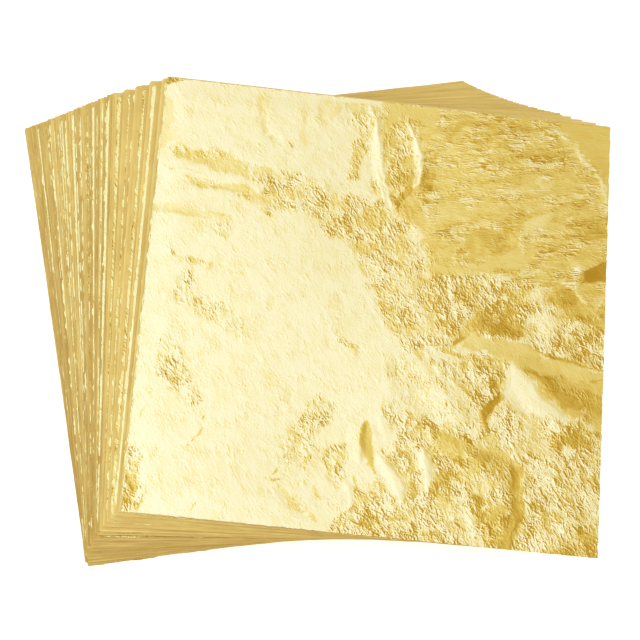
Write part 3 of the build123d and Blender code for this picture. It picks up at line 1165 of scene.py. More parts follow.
@dataclass
class FlatSheet:
    """A sheet of the stack: a thin closed mesh with a wavering edge.

    Attributes:
        seat: where it lies.
        stuff: tissue or gold.
        look: how its edges stray.
        lie: how it lies in the fan.
        coarse: how many points of the edge share one point of the band's inner side.
        calm: length at the ends of an edge over which it wavers less.
        show_lengths: wavelengths of the stretches where an edge comes out.
        show_low: level above which an edge comes out, and how fast it drops as more of it shows.
        show_rise: how far above that level it is fully out.
        corner_bends: angles of the points that round a corner, in degrees.
        bend_lengths: wavelengths of the bends up and down, in points of the edge.
        spread: how much the sheets differ in tone: on leaves, how bright each one's painted glint is; on
            tissues, their own colour, whose darker sheets also stand in for the shade between sheets.
        quiet: share of the changes in tone that the right and back edges keep.
        even: share of its own difference in tone that the inside of a sheet keeps.
    """

    seat: Seat
    stuff: Stuff
    look: RimLook
    lie: Lie
    coarse: int = 4
    calm: float = 3 * MM
    show_lengths: tuple[float, ...] = (34 * MM, 13 * MM, 5 * MM)
    show_low: Span = (0.75, 1.5)
    show_rise: float = 0.35
    corner_bends: tuple[float, ...] = (15, 40, 65, 85)
    bend_lengths: tuple[float, ...] = (60, 23, 9)
    spread: float = 0.8
    quiet: float = 0.25
    even: float = 0.4

    def inset(self, edge: Edge) -> float:
        """Mean distance of an edge from its solid's side."""
        return self.look.inset[edge.value] + self.lie.pulls.get(edge, 0.0)

    def corner(self, edge: Edge) -> float:
        """Radius of the corner at the end of an edge."""
        return self.lie.back_left if edge is Edge.BACK else self.look.corner

    def stray(self, edge: Edge, at: np.ndarray, wave: Wobble) -> np.ndarray:
        """How far an edge strays inwards from its mean line.

        Args:
            edge: the edge.
            at: places along it.
            wave: the sheet's own random draws.

        Returns:
            The further inset at each place.
        """
        waver = self.look.wave * wave.line(at, self.look.lengths)
        shown = self.lie.shows.get(edge, 0.0)
        if shown > 0:
            low = self.show_low[0] - self.show_low[1] * shown
            waver -= self.look.reach * step_up(wave.line(at, self.show_lengths), low, low + self.show_rise)
        if edge is Edge.LEFT:
            waver += self.lie.skew * (0.5 - (at - at[0]) / (at[-1] - at[0]))
        fade = np.clip(np.minimum(at - at[0], at[-1] - at) / self.calm, 0, 1)
        return waver * fade

    def outline(self, wave: Wobble) -> tuple[np.ndarray, np.ndarray]:
        """Runs round the sheet's edge.

        Args:
            wave: the sheet's own random draws.

        Returns:
            The edge's points as an (n, 2) array, and the number of the edge that each is on.
        """
        half = self.seat.side / 2
        edges = list(Edge)
        points, owners = [], []
        for place, edge in enumerate(edges):
            before, after = edges[place - 1], edges[(place + 1) % len(edges)]
            start = -(half - self.inset(before) - self.corner(before))
            end = half - self.inset(after) - self.corner(edge)
            count = self.coarse * max(2, round((end - start) / self.look.spacing[place] / self.coarse))
            at = np.linspace(start, end, count, endpoint=False)
            out = half - np.maximum(self.inset(edge) + self.stray(edge, at, wave), 0)
            bend = np.radians(self.corner_bends)
            arc_out = half - self.inset(edge) - self.corner(edge) * (1 - np.cos(bend))
            run = np.concatenate([at, end + self.corner(edge) * np.sin(bend)])
            out = np.concatenate([out, arc_out])
            turn = place * math.pi / 2
            c, s = math.cos(turn), math.sin(turn)
            points.append(np.stack([c * run + s * out, s * run - c * out], axis=1))
            owners.append(np.full(len(run), place))
        return np.concatenate(points), np.concatenate(owners)

    def build(self) -> MeshParts:
        """Makes the sheet's mesh.

        Returns:
            Points, faces, and the tone and rim share of each point.
        """
        wave = Wobble(self.seat.number, 1 if self.stuff is Stuff.GOLD else 2)
        edge, owner = self.outline(wave)
        count = len(edge)
        along = np.arange(count) * 1.0
        room = self.seat.side / 2 - self.look.band
        low = np.array([-(room - self.inset(Edge.LEFT)), -(room - self.inset(Edge.FRONT))])
        high = np.array([room - self.inset(Edge.RIGHT), room - self.inset(Edge.BACK)])
        inner = np.clip(edge, low, high)[:: self.coarse]
        few = len(inner)
        middle = (self.seat.low + self.seat.high) / 2
        bend = self.look.play * wave.line(along, self.bend_lengths)
        half = self.look.thickness / 2
        rows = []
        for side in (half, -half):
            rows.append(np.column_stack([edge, middle + bend + side]))
            rows.append(np.column_stack([inner, np.full(few, middle + side)]))
            rows.append(np.array([[0, 0, middle + side]]))
        points = np.concatenate(rows)
        layer = count + few + 1
        faces = []
        for up in (True, False):
            base = 0 if up else layer
            for k in range(few):
                after = (k + 1) % few
                fine = [base + (k * self.coarse + n) % count for n in range(self.coarse + 1)]
                ring = fine + [base + count + after, base + count + k]
                top = (base + count + k, base + count + after, base + count + few)
                faces += [tuple(ring if up else ring[::-1]), top if up else top[::-1]]
        for k in range(count):
            after = (k + 1) % count
            faces.append((layer + k, layer + after, after, k))
        # On a leaf this edge tone is its painted glint; on a tissue it is its own colour, whose darker sheets
        # also stand in for the shade between sheets.
        own = self.look.shade + self.spread * (wave.share() - 0.5)
        quiet = np.where(np.isin(owner, (Edge.RIGHT.value, Edge.BACK.value)), self.quiet, 1.0)
        change = (own - self.look.shade) + self.look.glitter * wave.line(along, self.look.grains)
        tone = np.clip(self.look.shade + quiet * change, 0, 1)
        even = self.look.shade + self.even * (own - self.look.shade)
        tones = np.concatenate([tone, np.full(few + 1, even)] * 2)
        rims = np.concatenate([np.ones(count), np.zeros(few + 1)] * 2)
        return self.seat.place(points), faces, {"tone": tones, "rim": rims}


class Nodes:
    """A short way to add and link shader nodes in one tree."""

    def __init__(self, tree: bpy.types.NodeTree) -> None:
        """Keeps the tree that the nodes go into."""
        self.tree = tree

    def add(self, kind: str, settings: dict | None = None, **inputs: object) -> bpy.types.Node:
        """Adds a node.

        Args:
            kind: the node's type without its ShaderNode prefix.
            settings: properties of the node itself.
            inputs: values or output sockets for its inputs; an underscore stands for a space, and
                a name of the form in0 is the input with that number.

        Returns:
            The node.
        """
        node = self.tree.nodes.new("ShaderNode" + kind)
        for name, value in (settings or {}).items():
            setattr(node, name, value)
        for name, value in inputs.items():
            numbered = name[:2] == "in" and name[2:].isdigit()
            socket = node.inputs[int(name[2:]) if numbered else name.replace("_", " ")]
            if isinstance(value, bpy.types.NodeSocket):
                self.tree.links.new(value, socket)
            else:
                socket.default_value = value
        return node

    def math(self, how: str, a: object, b: object = 0.0) -> bpy.types.NodeSocket:
        """Adds a sum of two values and gives its output."""
        return self.add("Math", {"operation": how}, in0=a, in1=b).outputs[0]

    def blend(self, share: object, a: object, b: object) -> bpy.types.NodeSocket:
        """Mixes two values and gives the outcome."""
        return self.add("Mix", {"data_type": "FLOAT"}, in0=share, in2=a, in3=b).outputs[0]

    def mix(self, share: object, a: object, b: object) -> bpy.types.NodeSocket:
        """Mixes two colours and gives the outcome."""
        node = self.add("Mix", {"data_type": "RGBA", "clamp_factor": True}, in0=share, in6=a, in7=b)
        return node.outputs[2]

    def span(self, value: object, low: float, high: float) -> bpy.types.NodeSocket:
        """Maps a value from low and high to 0 and 1, smoothly and held at its ends."""
        node = self.add("MapRange", {"interpolation_type": "SMOOTHSTEP"}, in0=value, in1=low, in2=high)
        return node.outputs[0]

    def ramp(self, value: object, stops: tuple[tuple[float, Colour], ...]) -> bpy.types.NodeSocket:
        """Gives the colour for a value.

        Args:
            value: the value, from 0 to 1.
            stops: places and their colours, in rising order.

        Returns:
            The colour's output.
        """
        node = self.add("ValToRGB", {}, in0=value)
        elements = node.color_ramp.elements
        while len(elements) < len(stops):
            elements.new(0.5)
        for element, (place, colour) in zip(elements, stops):
            element.position = place
            element.color = colour
        return node.outputs[0]

    def stretched(self, place: object, turn: float, wide: float, tall: float) -> bpy.types.NodeSocket:
        """Turns a place and counts it in units of its own along each turned axis.

        Args:
            place: the place, in metres.
            turn: heading of the first axis, in degrees.
            wide: the unit along the first axis, in metres.
            tall: the unit along the second axis.

        Returns:
            The place in those units.
        """
        turned, sizes = (0, 0, math.radians(turn)), (wide, tall, wide)
        return self.add("Mapping", {"vector_type": "TEXTURE"}, in0=place, in2=turned, in3=sizes).outputs[0]


Group = tuple[bpy.types.NodeTree, bpy.types.Node, bpy.types.Node]


def shader_group(name: str, inputs: dict[str, tuple[str, object]], outputs: dict[str, str]) -> Group:
    """Starts a shader node group with named sockets.

    Args:
        name: the group's name.
        inputs: socket kind and default for each input's name.
        outputs: socket kind for each output's name.

    Returns:
        The group, its input node and its output node.
    """
    tree = bpy.data.node_groups.new(name, "ShaderNodeTree")
    for label, (kind, default) in inputs.items():
        socket = tree.interface.new_socket(label, in_out="INPUT", socket_type=kind)
        if default is not None:
            socket.default_value = default
    for label, kind in outputs.items():
        tree.interface.new_socket(label, in_out="OUTPUT", socket_type=kind)
    return tree, tree.nodes.new("NodeGroupInput"), tree.nodes.new("NodeGroupOutput")


@dataclass(frozen=True)
class Creases:
    """One set of fine creases in the foil.

    Attributes:
        turn: heading of the direction across them, in degrees.
        wide: width of a crease.
        tall: its length.
        step: the way towards the light, in widths and lengths of a crease.
    """

    turn: float
    wide: float
    tall: float
    step: tuple[float, float, float]


STEEP_CREASES = Creases(18, 1.10 * MM, 2.4 * MM, (0.34, 0.02, 0))
LEVEL_CREASES = Creases(82, 1.00 * MM, 3.4 * MM, (0.20, -0.07, 0))
NOISE_MIDDLE = 0.5
SWIRL_REACH = (0.9, 0.9, 0)
# SHARD_TONE: painted shade given to each shard of the crinkles.
SHARD_TONE = 0.12
FIBRE_TURNS = (12, -50)
FIBRE_WIDTHS = (2.0 * MM, 0.4 * MM)
CLOUD_SPAN = (0.3, 0.7)
SPECK_SPAN = (0.04, 0.10)


def foil_crinkle_group() -> bpy.types.NodeTree:
    """Fine crinkles of thin foil: short creases that slant, or lie level where Level is 1.

    Returns:
        A group with the inputs Place and Level, and the outputs Height and Lit, which is above 0
        on slopes towards the light and below 0 on the others.
    """
    tree, start, end = shader_group(
        "foil_crinkle",
        {"Place": (VECTOR, None), "Level": (VALUE, 0.0)},
        {"Height": VALUE, "Lit": VALUE},
    )
    make = Nodes(tree)
    heights, lits = [], []
    for creases in (STEEP_CREASES, LEVEL_CREASES):
        place = make.stretched(start.outputs["Place"], creases.turn, creases.wide, creases.tall)
        beside = make.add("VectorMath", {"operation": "ADD"}, in0=place, in1=creases.step).outputs[0]
        depths = []
        for spot in (place, beside):
            noise = make.add(
                "TexNoise", {}, Vector=spot, Scale=1.0, Detail=2.0, Roughness=0.55, Distortion=0.9
            )
            depths.append(make.math("ABSOLUTE", make.math("SUBTRACT", noise.outputs[0], NOISE_MIDDLE)))
        heights.append(depths[0])
        swirl = make.add("TexNoise", {}, Vector=place, Scale=0.9, Detail=2.0, Roughness=0.6).outputs["Color"]
        # Painted shade: each bent shard is painted a little paler or deeper, as if it faced the light more or
        # less, and this joins Lit.
        bent = make.add("VectorMath", {"operation": "MULTIPLY_ADD"}, in0=swirl, in1=SWIRL_REACH, in2=place)
        shards = make.add("TexVoronoi", {"feature": "F1"}, Vector=bent.outputs[0], Scale=0.75)
        shade = make.add("SeparateColor", {}, in0=shards.outputs["Color"]).outputs[0]
        slant = make.math("MULTIPLY", make.math("SUBTRACT", shade, NOISE_MIDDLE), SHARD_TONE)
        lits.append(make.math("ADD", make.math("SUBTRACT", depths[1], depths[0]), slant))
    level = start.outputs["Level"]
    tree.links.new(make.blend(level, *heights), end.inputs["Height"])
    tree.links.new(make.blend(level, *lits), end.inputs["Lit"])
    return tree


def paper_fibre_group() -> bpy.types.NodeTree:
    """Fibres and clouds of thin paper.

    Returns:
        A group with the input Place, and the outputs Height, Cloud and Speck.
    """
    tree, start, end = shader_group(
        "paper_fibre",
        {"Place": (VECTOR, None)},
        {"Height": VALUE, "Cloud": VALUE, "Speck": VALUE},
    )
    make = Nodes(tree)
    place = start.outputs["Place"]
    fibres = []
    for turn in FIBRE_TURNS:
        way = make.stretched(place, turn, *FIBRE_WIDTHS)
        fibres.append(make.add("TexNoise", {}, Vector=way, Scale=1.0, Detail=3.0, Roughness=0.6).outputs[0])
    cloud = make.add("TexNoise", {}, Vector=place, Scale=70.0, Detail=4.0, Roughness=0.55).outputs[0]
    specks = make.add("TexVoronoi", {"feature": "F1"}, Vector=place, Scale=260.0).outputs[0]
    tree.links.new(make.math("ADD", *fibres), end.inputs["Height"])
    tree.links.new(make.span(cloud, *CLOUD_SPAN), end.inputs["Cloud"])
    tree.links.new(make.math("SUBTRACT", 1.0, make.span(specks, *SPECK_SPAN)), end.inputs["Speck"])
    return tree


@dataclass(frozen=True)
class Groups:
    """The shader node groups that several materials share."""

    crinkle: bpy.types.NodeTree
    fibre: bpy.types.NodeTree


@dataclass(frozen=True)
class GoldFinish:
    """Bright crumpled metal leaf.

    Attributes:
        name: the material's name.
        stops: its colours from deep to pale, by tone: painted shade at the deep end, painted highlight at the
            pale end.
        roughness: roughness of a smooth part.
        rougher: roughness added where it is crumpled.
        crinkle_depth: height of the fine crinkles.
        crinkle_tone: how much paler a crinkle's lit side is.
        mapped_rough: whether the crinkles follow the mesh's own roughness.
        flatter: how much lower than wide the crinkles are where they don't, as on a sheet's edge.
        plain_rough: how crumpled such a sheet is.
        least_rough: how crumpled the smoothest foil is where they do.
    """

    name: str
    stops: tuple[tuple[float, Colour], ...]
    roughness: float
    rougher: float
    crinkle_depth: float
    crinkle_tone: float
    mapped_rough: bool
    flatter: float = 35
    plain_rough: float = 0.6
    least_rough: float = 0.02

    def material(self, groups: Groups) -> bpy.types.Material:
        """Makes the material.

        Args:
            groups: the shared shader node groups.

        Returns:
            The material.
        """
        material = bpy.data.materials.new(self.name)
        material.use_nodes = True
        tree = material.node_tree
        tree.nodes.clear()
        make = Nodes(tree)
        place = make.add("TexCoord").outputs["Object"]
        if not self.mapped_rough:
            place = make.add("Mapping", {}, in0=place, in3=(1, 1, self.flatter)).outputs[0]
        tone, level = (
            make.add("Attribute", {"attribute_name": name}).outputs["Fac"] for name in ("tone", "level")
        )
        crinkle = make.add("Group", {"node_tree": groups.crinkle}, Place=place, Level=level)
        height, lit = crinkle.outputs["Height"], crinkle.outputs["Lit"]
        rough: object = self.plain_rough
        if self.mapped_rough:
            rough = make.add("Attribute", {"attribute_name": "rough"}).outputs["Fac"]
            height = make.math("MULTIPLY", height, make.math("ADD", rough, self.least_rough))
            lit = make.math("MULTIPLY", lit, make.math("ADD", rough, self.least_rough))
        # Painted light and shade: the crinkles' lit sides are painted paler and their shaded sides deeper, on
        # top of the tone's own painted light and shade.
        painted_tone = make.math("ADD", tone, make.math("MULTIPLY", lit, self.crinkle_tone))
        colour = make.ramp(painted_tone, self.stops)
        gloss = make.math("ADD", self.roughness, make.math("MULTIPLY", rough, self.rougher))
        bump = make.add("Bump", {}, Strength=1.0, Distance=self.crinkle_depth, Height=height).outputs[0]
        shader = make.add(
            "BsdfPrincipled", {}, Base_Color=colour, Metallic=1.0, Roughness=gloss, Normal=bump
        )
        output = make.add("OutputMaterial")
        tree.links.new(shader.outputs[0], output.inputs[0])
        return material


@dataclass(frozen=True)
class TissueFinish:
    """Thin tan tissue paper.

    Attributes:
        name: the material's name.
        light: its lighter colour.
        dark: its darker colour.
        speck: colour of the small specks.
        rim_glow: colour of the thin edge, where light comes through.
        rim_share: how strongly that colour shows at the very edge.
        shine: strength of its gloss.
        flatter: how much lower than wide its fibres and clouds are.
        tone_share: how much the sheet's own tone counts in its colour.
        cloud_share: how much the clouds count.
        speck_share: how strongly the specks show.
        relief: strength of the fibres' relief.
        fibre_depth: height of the fibres.
        roughness: its roughness.
    """

    name: str
    light: Colour
    dark: Colour
    speck: Colour
    rim_glow: Colour
    rim_share: float
    shine: float = 0.15
    flatter: float = 25
    tone_share: float = 0.75
    cloud_share: float = 0.25
    speck_share: float = 0.25
    relief: float = 0.5
    fibre_depth: float = 0.03 * MM
    roughness: float = 0.78

    def material(self, groups: Groups) -> bpy.types.Material:
        """Makes the material.

        Args:
            groups: the shared shader node groups.

        Returns:
            The material.
        """
        material = bpy.data.materials.new(self.name)
        material.use_nodes = True
        tree = material.node_tree
        tree.nodes.clear()
        make = Nodes(tree)
        place = make.add("TexCoord").outputs["Object"]
        layered = make.add("Mapping", {}, in0=place, in3=(1, 1, self.flatter)).outputs[0]
        fibre = make.add("Group", {"node_tree": groups.fibre}, Place=layered)
        tone = make.add("Attribute", {"attribute_name": "tone"}).outputs["Fac"]
        rim = make.add("Attribute", {"attribute_name": "rim"}).outputs["Fac"]
        clouds = make.math("MULTIPLY", fibre.outputs["Cloud"], self.cloud_share)
        shade = make.math("ADD", make.math("MULTIPLY", tone, self.tone_share), clouds)
        colour = make.mix(shade, self.dark, self.light)
        colour = make.mix(make.math("MULTIPLY", rim, self.rim_share), colour, self.rim_glow)
        specks = make.math("MULTIPLY", fibre.outputs["Speck"], self.speck_share)
        colour = make.mix(specks, colour, self.speck)
        height = fibre.outputs["Height"]
        bump = make.add("Bump", {}, Strength=self.relief, Distance=self.fibre_depth, Height=height)
        shader = make.add(
            "BsdfPrincipled", {}, Base_Color=colour, Roughness=self.roughness,
            Specular_IOR_Level=self.shine, Normal=bump.outputs[0],
        )
        output = make.add("OutputMaterial")
        tree.links.new(shader.outputs[0], output.inputs[0])
        return material


# The gold ramps hold painted light: the deep end is painted shade and the pale, nearly white end is a painted
# highlight.
TOP_GOLD = GoldFinish(
    name="crumpled_gold",
    stops=(
        (0.00, (0.56, 0.34, 0.035, 1)),
        (0.25, (0.72, 0.51, 0.095, 1)),
        (0.50, (0.86, 0.68, 0.200, 1)),
        (0.75, (0.94, 0.82, 0.360, 1)),
        (1.00, (1.00, 0.96, 0.670, 1)),
    ),
    roughness=0.17,
    rougher=0.06,
    crinkle_depth=0.40 * MM,
    crinkle_tone=10.5,
    mapped_rough=True,
)
EDGE_GOLD = GoldFinish(
    name="pressed_gold",
    stops=(
        (0.00, (0.50, 0.31, 0.045, 1)),
        (0.25, (0.74, 0.54, 0.120, 1)),
        (0.60, (0.98, 0.88, 0.400, 1)),
        (1.00, (1.00, 1.00, 0.600, 1)),
    ),
    roughness=0.26,
    rougher=0.10,
    crinkle_depth=0.20 * MM,
    crinkle_tone=2.5,
    mapped_rough=False,
)
STACK_TISSUE = TissueFinish(
    name="stack_tissue",
    light=(0.95, 0.74, 0.25, 1),
    dark=(0.50, 0.30, 0.055, 1),
    speck=(0.34, 0.20, 0.04, 1),
    rim_glow=(0.94, 0.74, 0.26, 1),
    rim_share=0.20,
)
TOP_TISSUE = TissueFinish(
    name="top_tissue",
    light=(0.78, 0.60, 0.24, 1),
    dark=(0.66, 0.48, 0.16, 1),
    speck=(0.42, 0.28, 0.08, 1),
    rim_glow=(0.82, 0.65, 0.28, 1),
    rim_share=0.20,
)


def make_piece(
    name: str, parts: list[MeshParts], material: bpy.types.Material, smooth: bool
) -> bpy.types.Object:
    """Makes one object from the meshes of its sheets.

    Args:
        name: the object's name.
        parts: points, faces and values of each sheet.
        material: its material.
        smooth: whether its faces are shaded smooth.

    Returns:
        The object, linked into the scene.
    """
    points, faces, values, start = [], [], {}, 0
    for part_points, part_faces, part_values in parts:
        points.append(part_points)
        faces += [tuple(start + index for index in face) for face in part_faces]
        for label, numbers in part_values.items():
            values.setdefault(label, []).append(numbers)
        start += len(part_points)
    mesh = bpy.data.meshes.new(name)
    mesh.from_pydata(np.concatenate(points).tolist(), [], faces)
    for label, numbers in values.items():
        layer = mesh.attributes.new(label, "FLOAT", "POINT")
        layer.data.foreach_set("value", np.concatenate(numbers).astype(np.float32))
    mesh.materials.append(material)
    if smooth:
        mesh.shade_smooth()
        mesh.set_sharp_from_angle(angle=math.radians(50))
    mesh.update()
    piece = bpy.data.objects.new(name, mesh)
    bpy.context.scene.collection.objects.link(piece)
    return piece


@dataclass(frozen=True)
class Showing:
    """How much the leaves of one stretch show, from 0, hidden, to 1.

    Attributes:
        chance: share of them that show well.
        least: how much those show at least.
        spread: how much more the clearest of them shows.
        rest: how much the others show.
    """

    chance: float
    least: float
    spread: float
    rest: float

    def amount(self, chance: float, strength: float) -> float:
        """Gives how much a leaf shows for its two random draws."""
        return self.least + self.spread * strength if chance < self.chance else self.rest


@dataclass(frozen=True)
class Fanning:
    """How the edges of the sheets come out from under each other, by their place in the pack.

    Attributes:
        loose: number of the first of the loose upper pairs.
        top: number of the topmost pair.
        clear: leaves whose left edge shows clearly.
        bundle: first and last leaf of the stretch where most of them show.
        plain: first and last leaf of the stretch where none shows.
        lowest: number of the lowest leaf that shows at the left.
        faint: number below which they show faintly.
        front: stretches of leaves that show at the front.
        bundled: how the odd leaves of the bundle show; the even ones show as its rest.
        odd: how much every other odd leaf shows.
        low_leaves: how the even leaves show where they are faint.
        high_leaves: how they show above that.
        show_seed: first seed of the draws for how a leaf shows.
        lie_seed: first seed of the draws for how a sheet lies.
        bow: how far the middle sheets' front edges are drawn in.
        bow_arc: share of half a wave that the bow runs through from the bottom to the top.
        bare_left: how far a tissue's left edge is drawn in above a leaf that shows fully.
        bare_front: how far its front edge is drawn in above a leaf that shows there.
        front_shows: how much such a leaf shows.
        top_pulls: how far the topmost tissue's left and right edges are drawn in.
        tissue_corner: radius of a bundled tissue's back left corner.
        loose_corner: least radius of a loose tissue's, and what a draw adds, in millimetres.
        gold_corner: radius of a bundled leaf's.
        loose_left: least pull of a loose leaf's left edge, and what a draw adds, in millimetres.
        loose_front: how far its front edge is drawn in.
        loose_shows: how much of its left edge shows.
        loose_gold_corner: radius of its back left corner.
        loose_skew: how much further in its left edge lies at the back than at the front.
    """

    loose: int
    top: int
    clear: tuple[int, ...] = (33, 39, 52, 73, 83)
    bundle: tuple[int, int] = (58, 69)
    plain: tuple[int, int] = (86, 89)
    lowest: int = 3
    faint: int = 30
    front: tuple[tuple[int, int], ...] = ((0, 6), (76, 80))
    bundled: Showing = Showing(1.0, 0.60, 0.35, 0.35)
    odd: float = 0.20
    low_leaves: Showing = Showing(0.80, 0.38, 0.25, 0.20)
    high_leaves: Showing = Showing(0.85, 0.50, 0.38, 0.25)
    show_seed: int = 900
    lie_seed: int = 1900
    bow: float = 1.4 * MM
    bow_arc: float = 0.8
    bare_left: float = 0.12 * MM
    bare_front: float = 0.6 * MM
    front_shows: float = 0.60
    top_pulls: Span = (0.50 * MM, 0.30 * MM)
    tissue_corner: float = 0.35 * MM
    loose_corner: Span = (1.00, 0.30)
    gold_corner: float = 0.8 * MM
    loose_left: Span = (0.30, 0.15)
    loose_front: float = 1.3 * MM
    loose_shows: float = 0.40
    loose_gold_corner: float = 1.3 * MM
    loose_skew: float = 1.0 * MM

    def shows(self, number: int) -> float:
        """How much of a leaf's left edge shows, from 0, hidden, to 1."""
        draw = Wobble(self.show_seed + number)
        chance, strength = draw.share(), draw.share()
        if self.plain[0] <= number <= self.plain[1] or number < self.lowest:
            return 0.0
        if number in self.clear:
            return 1.0
        if self.bundle[0] <= number <= self.bundle[1]:
            return self.bundled.amount(chance, strength) if number % 2 else self.bundled.rest
        if number % 2:
            return self.odd
        leaves = self.low_leaves if number < self.faint else self.high_leaves
        return leaves.amount(chance, strength)

    def glints(self, number: int) -> bool:
        """Whether a leaf shows at the stack's front."""
        return any(low <= number <= high for low, high in self.front)

    def lie(self, stuff: Stuff, number: int) -> Lie:
        """How a sheet lies in the fan.

        Args:
            stuff: tissue or gold.
            number: the sheet's place in the pack.

        Returns:
            Its extra insets, the edges that show and the radius of its back left corner.
        """
        draw = Wobble(self.lie_seed + number).share()
        loose = number >= self.loose
        front = self.bow * math.sin(self.bow_arc * math.pi * number / self.top)
        if stuff is Stuff.TISSUE:
            left = 0.0 if loose else self.bare_left * self.shows(number - 1)
            bared = self.bare_front if self.glints(number - 1) else 0.0
            pulls = {Edge.LEFT: left, Edge.FRONT: front + bared}
            if number == self.top:
                pulls = {Edge.LEFT: self.top_pulls[0], Edge.FRONT: front, Edge.RIGHT: self.top_pulls[1]}
            rounded = (self.loose_corner[0] + self.loose_corner[1] * draw) * MM
            return Lie(pulls, {}, rounded if loose else self.tissue_corner)
        if loose:
            left = (self.loose_left[0] + self.loose_left[1] * draw) * MM
            pulls = {Edge.LEFT: left, Edge.FRONT: self.loose_front}
            return Lie(pulls, {Edge.LEFT: self.loose_shows}, self.loose_gold_corner, self.loose_skew)
        front_shows = self.front_shows if self.glints(number) else 0.0
        shows = {Edge.LEFT: self.shows(number), Edge.FRONT: front_shows}
        return Lie({Edge.FRONT: front}, shows, self.gold_corner)


@dataclass
class Pack:
    """The whole fanned pack, built on the frame's nodes.

    Attributes:
        groups: the shared shader node groups.
        materials: the finished materials by name.
    """

    frame: dict
    groups: Groups
    materials: dict[str, bpy.types.Material] = field(default_factory=dict)

    def dress(self) -> None:
        """Makes the four materials."""
        for finish in (TOP_GOLD, EDGE_GOLD, STACK_TISSUE, TOP_TISSUE):
            self.materials[finish.name] = finish.material(self.groups)

    def build(self) -> None:
        """Makes a piece for every node and lets it ride with that node's body."""
        nodes, record = self.frame["nodes"], self.frame["record"]
        bodies = {name: body for body, names in record["behaviour"]["bodies"].items() for name in names}
        stuffs = {row["node"]: Stuff(row["material_slot"]) for row in record["subparts"]}
        order = sorted(nodes, key=lambda name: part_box(name)[0].z)
        flat = {Stuff.TISSUE: [], Stuff.GOLD: []}
        for name in order[:-1]:
            sheets = flat[stuffs[name]]
            sheets.append((name, seats_of(nodes[name], sum(len(seats) for _, seats in sheets))))
        top_tissue = flat[Stuff.TISSUE][-1][1][-1]
        bundles = sum(1 for _, seats in flat[Stuff.TISSUE] if len(seats) > 1)
        loose = sum(len(seats) for _, seats in flat[Stuff.TISSUE][:bundles])
        fanning = Fanning(loose=loose, top=top_tissue.number)
        pieces = {order[-1]: self.top_leaf(order[-1], top_tissue)}
        for stuff, rows in flat.items():
            for name, seats in rows:
                pieces[name] = self.sheets(name, stuff, seats, fanning)
        for name, piece in pieces.items():
            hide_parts(name)
            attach(piece, bodies[name])
            LOG.info("%s: %d faces on %s", piece.name, len(piece.data.polygons), bodies[name])

    def sheets(self, node: str, stuff: Stuff, seats: list[Seat], fanning: Fanning) -> bpy.types.Object:
        """Makes the piece for a node of flat sheets.

        Args:
            node: the node's name.
            stuff: tissue or gold.
            seats: where its sheets lie.
            fanning: how the edges come out.

        Returns:
            The piece.
        """
        look = GOLD_RIM if stuff is Stuff.GOLD else TISSUE_RIM
        finish = EDGE_GOLD if stuff is Stuff.GOLD else STACK_TISSUE
        if stuff is Stuff.TISSUE and seats[-1].number == fanning.top:
            finish = TOP_TISSUE
        parts = [FlatSheet(seat, stuff, look, fanning.lie(stuff, seat.number)).build() for seat in seats]
        name = f"{node}_sheets" if len(seats) > 1 else f"{node}_sheet"
        return make_piece(name, parts, self.materials[finish.name], False)

    def top_leaf(self, node: str, tissue: Seat) -> bpy.types.Object:
        """Makes the crumpled top leaf on the seat that its solid and its tissue give.

        Args:
            node: the top leaf's node.
            tissue: seat of the tissue below it, whose axes it shares.

        Returns:
            The piece.
        """
        points = mesh_points(self.frame["nodes"][node])
        across = points[:, 0] * tissue.along.x + points[:, 1] * tissue.along.y
        back = points[:, 1] * tissue.along.x - points[:, 0] * tissue.along.y
        side = across.max() - across.min()
        middle_x, middle_y = (across.max() + across.min()) / 2, (back.max() + back.min()) / 2
        middle = Vector((
            middle_x * tissue.along.x - middle_y * tissue.along.y,
            middle_x * tissue.along.y + middle_y * tissue.along.x,
            0,
        ))
        low, high = points[:, 2].min(), points[:, 2].max()
        seat = Seat(middle, tissue.along, side, low, high, tissue.number)
        leaf = TopLeaf(side=side, ceiling=high - low)
        return make_piece(f"{node}_foil", [leaf.build(seat)], self.materials[TOP_GOLD.name], True)


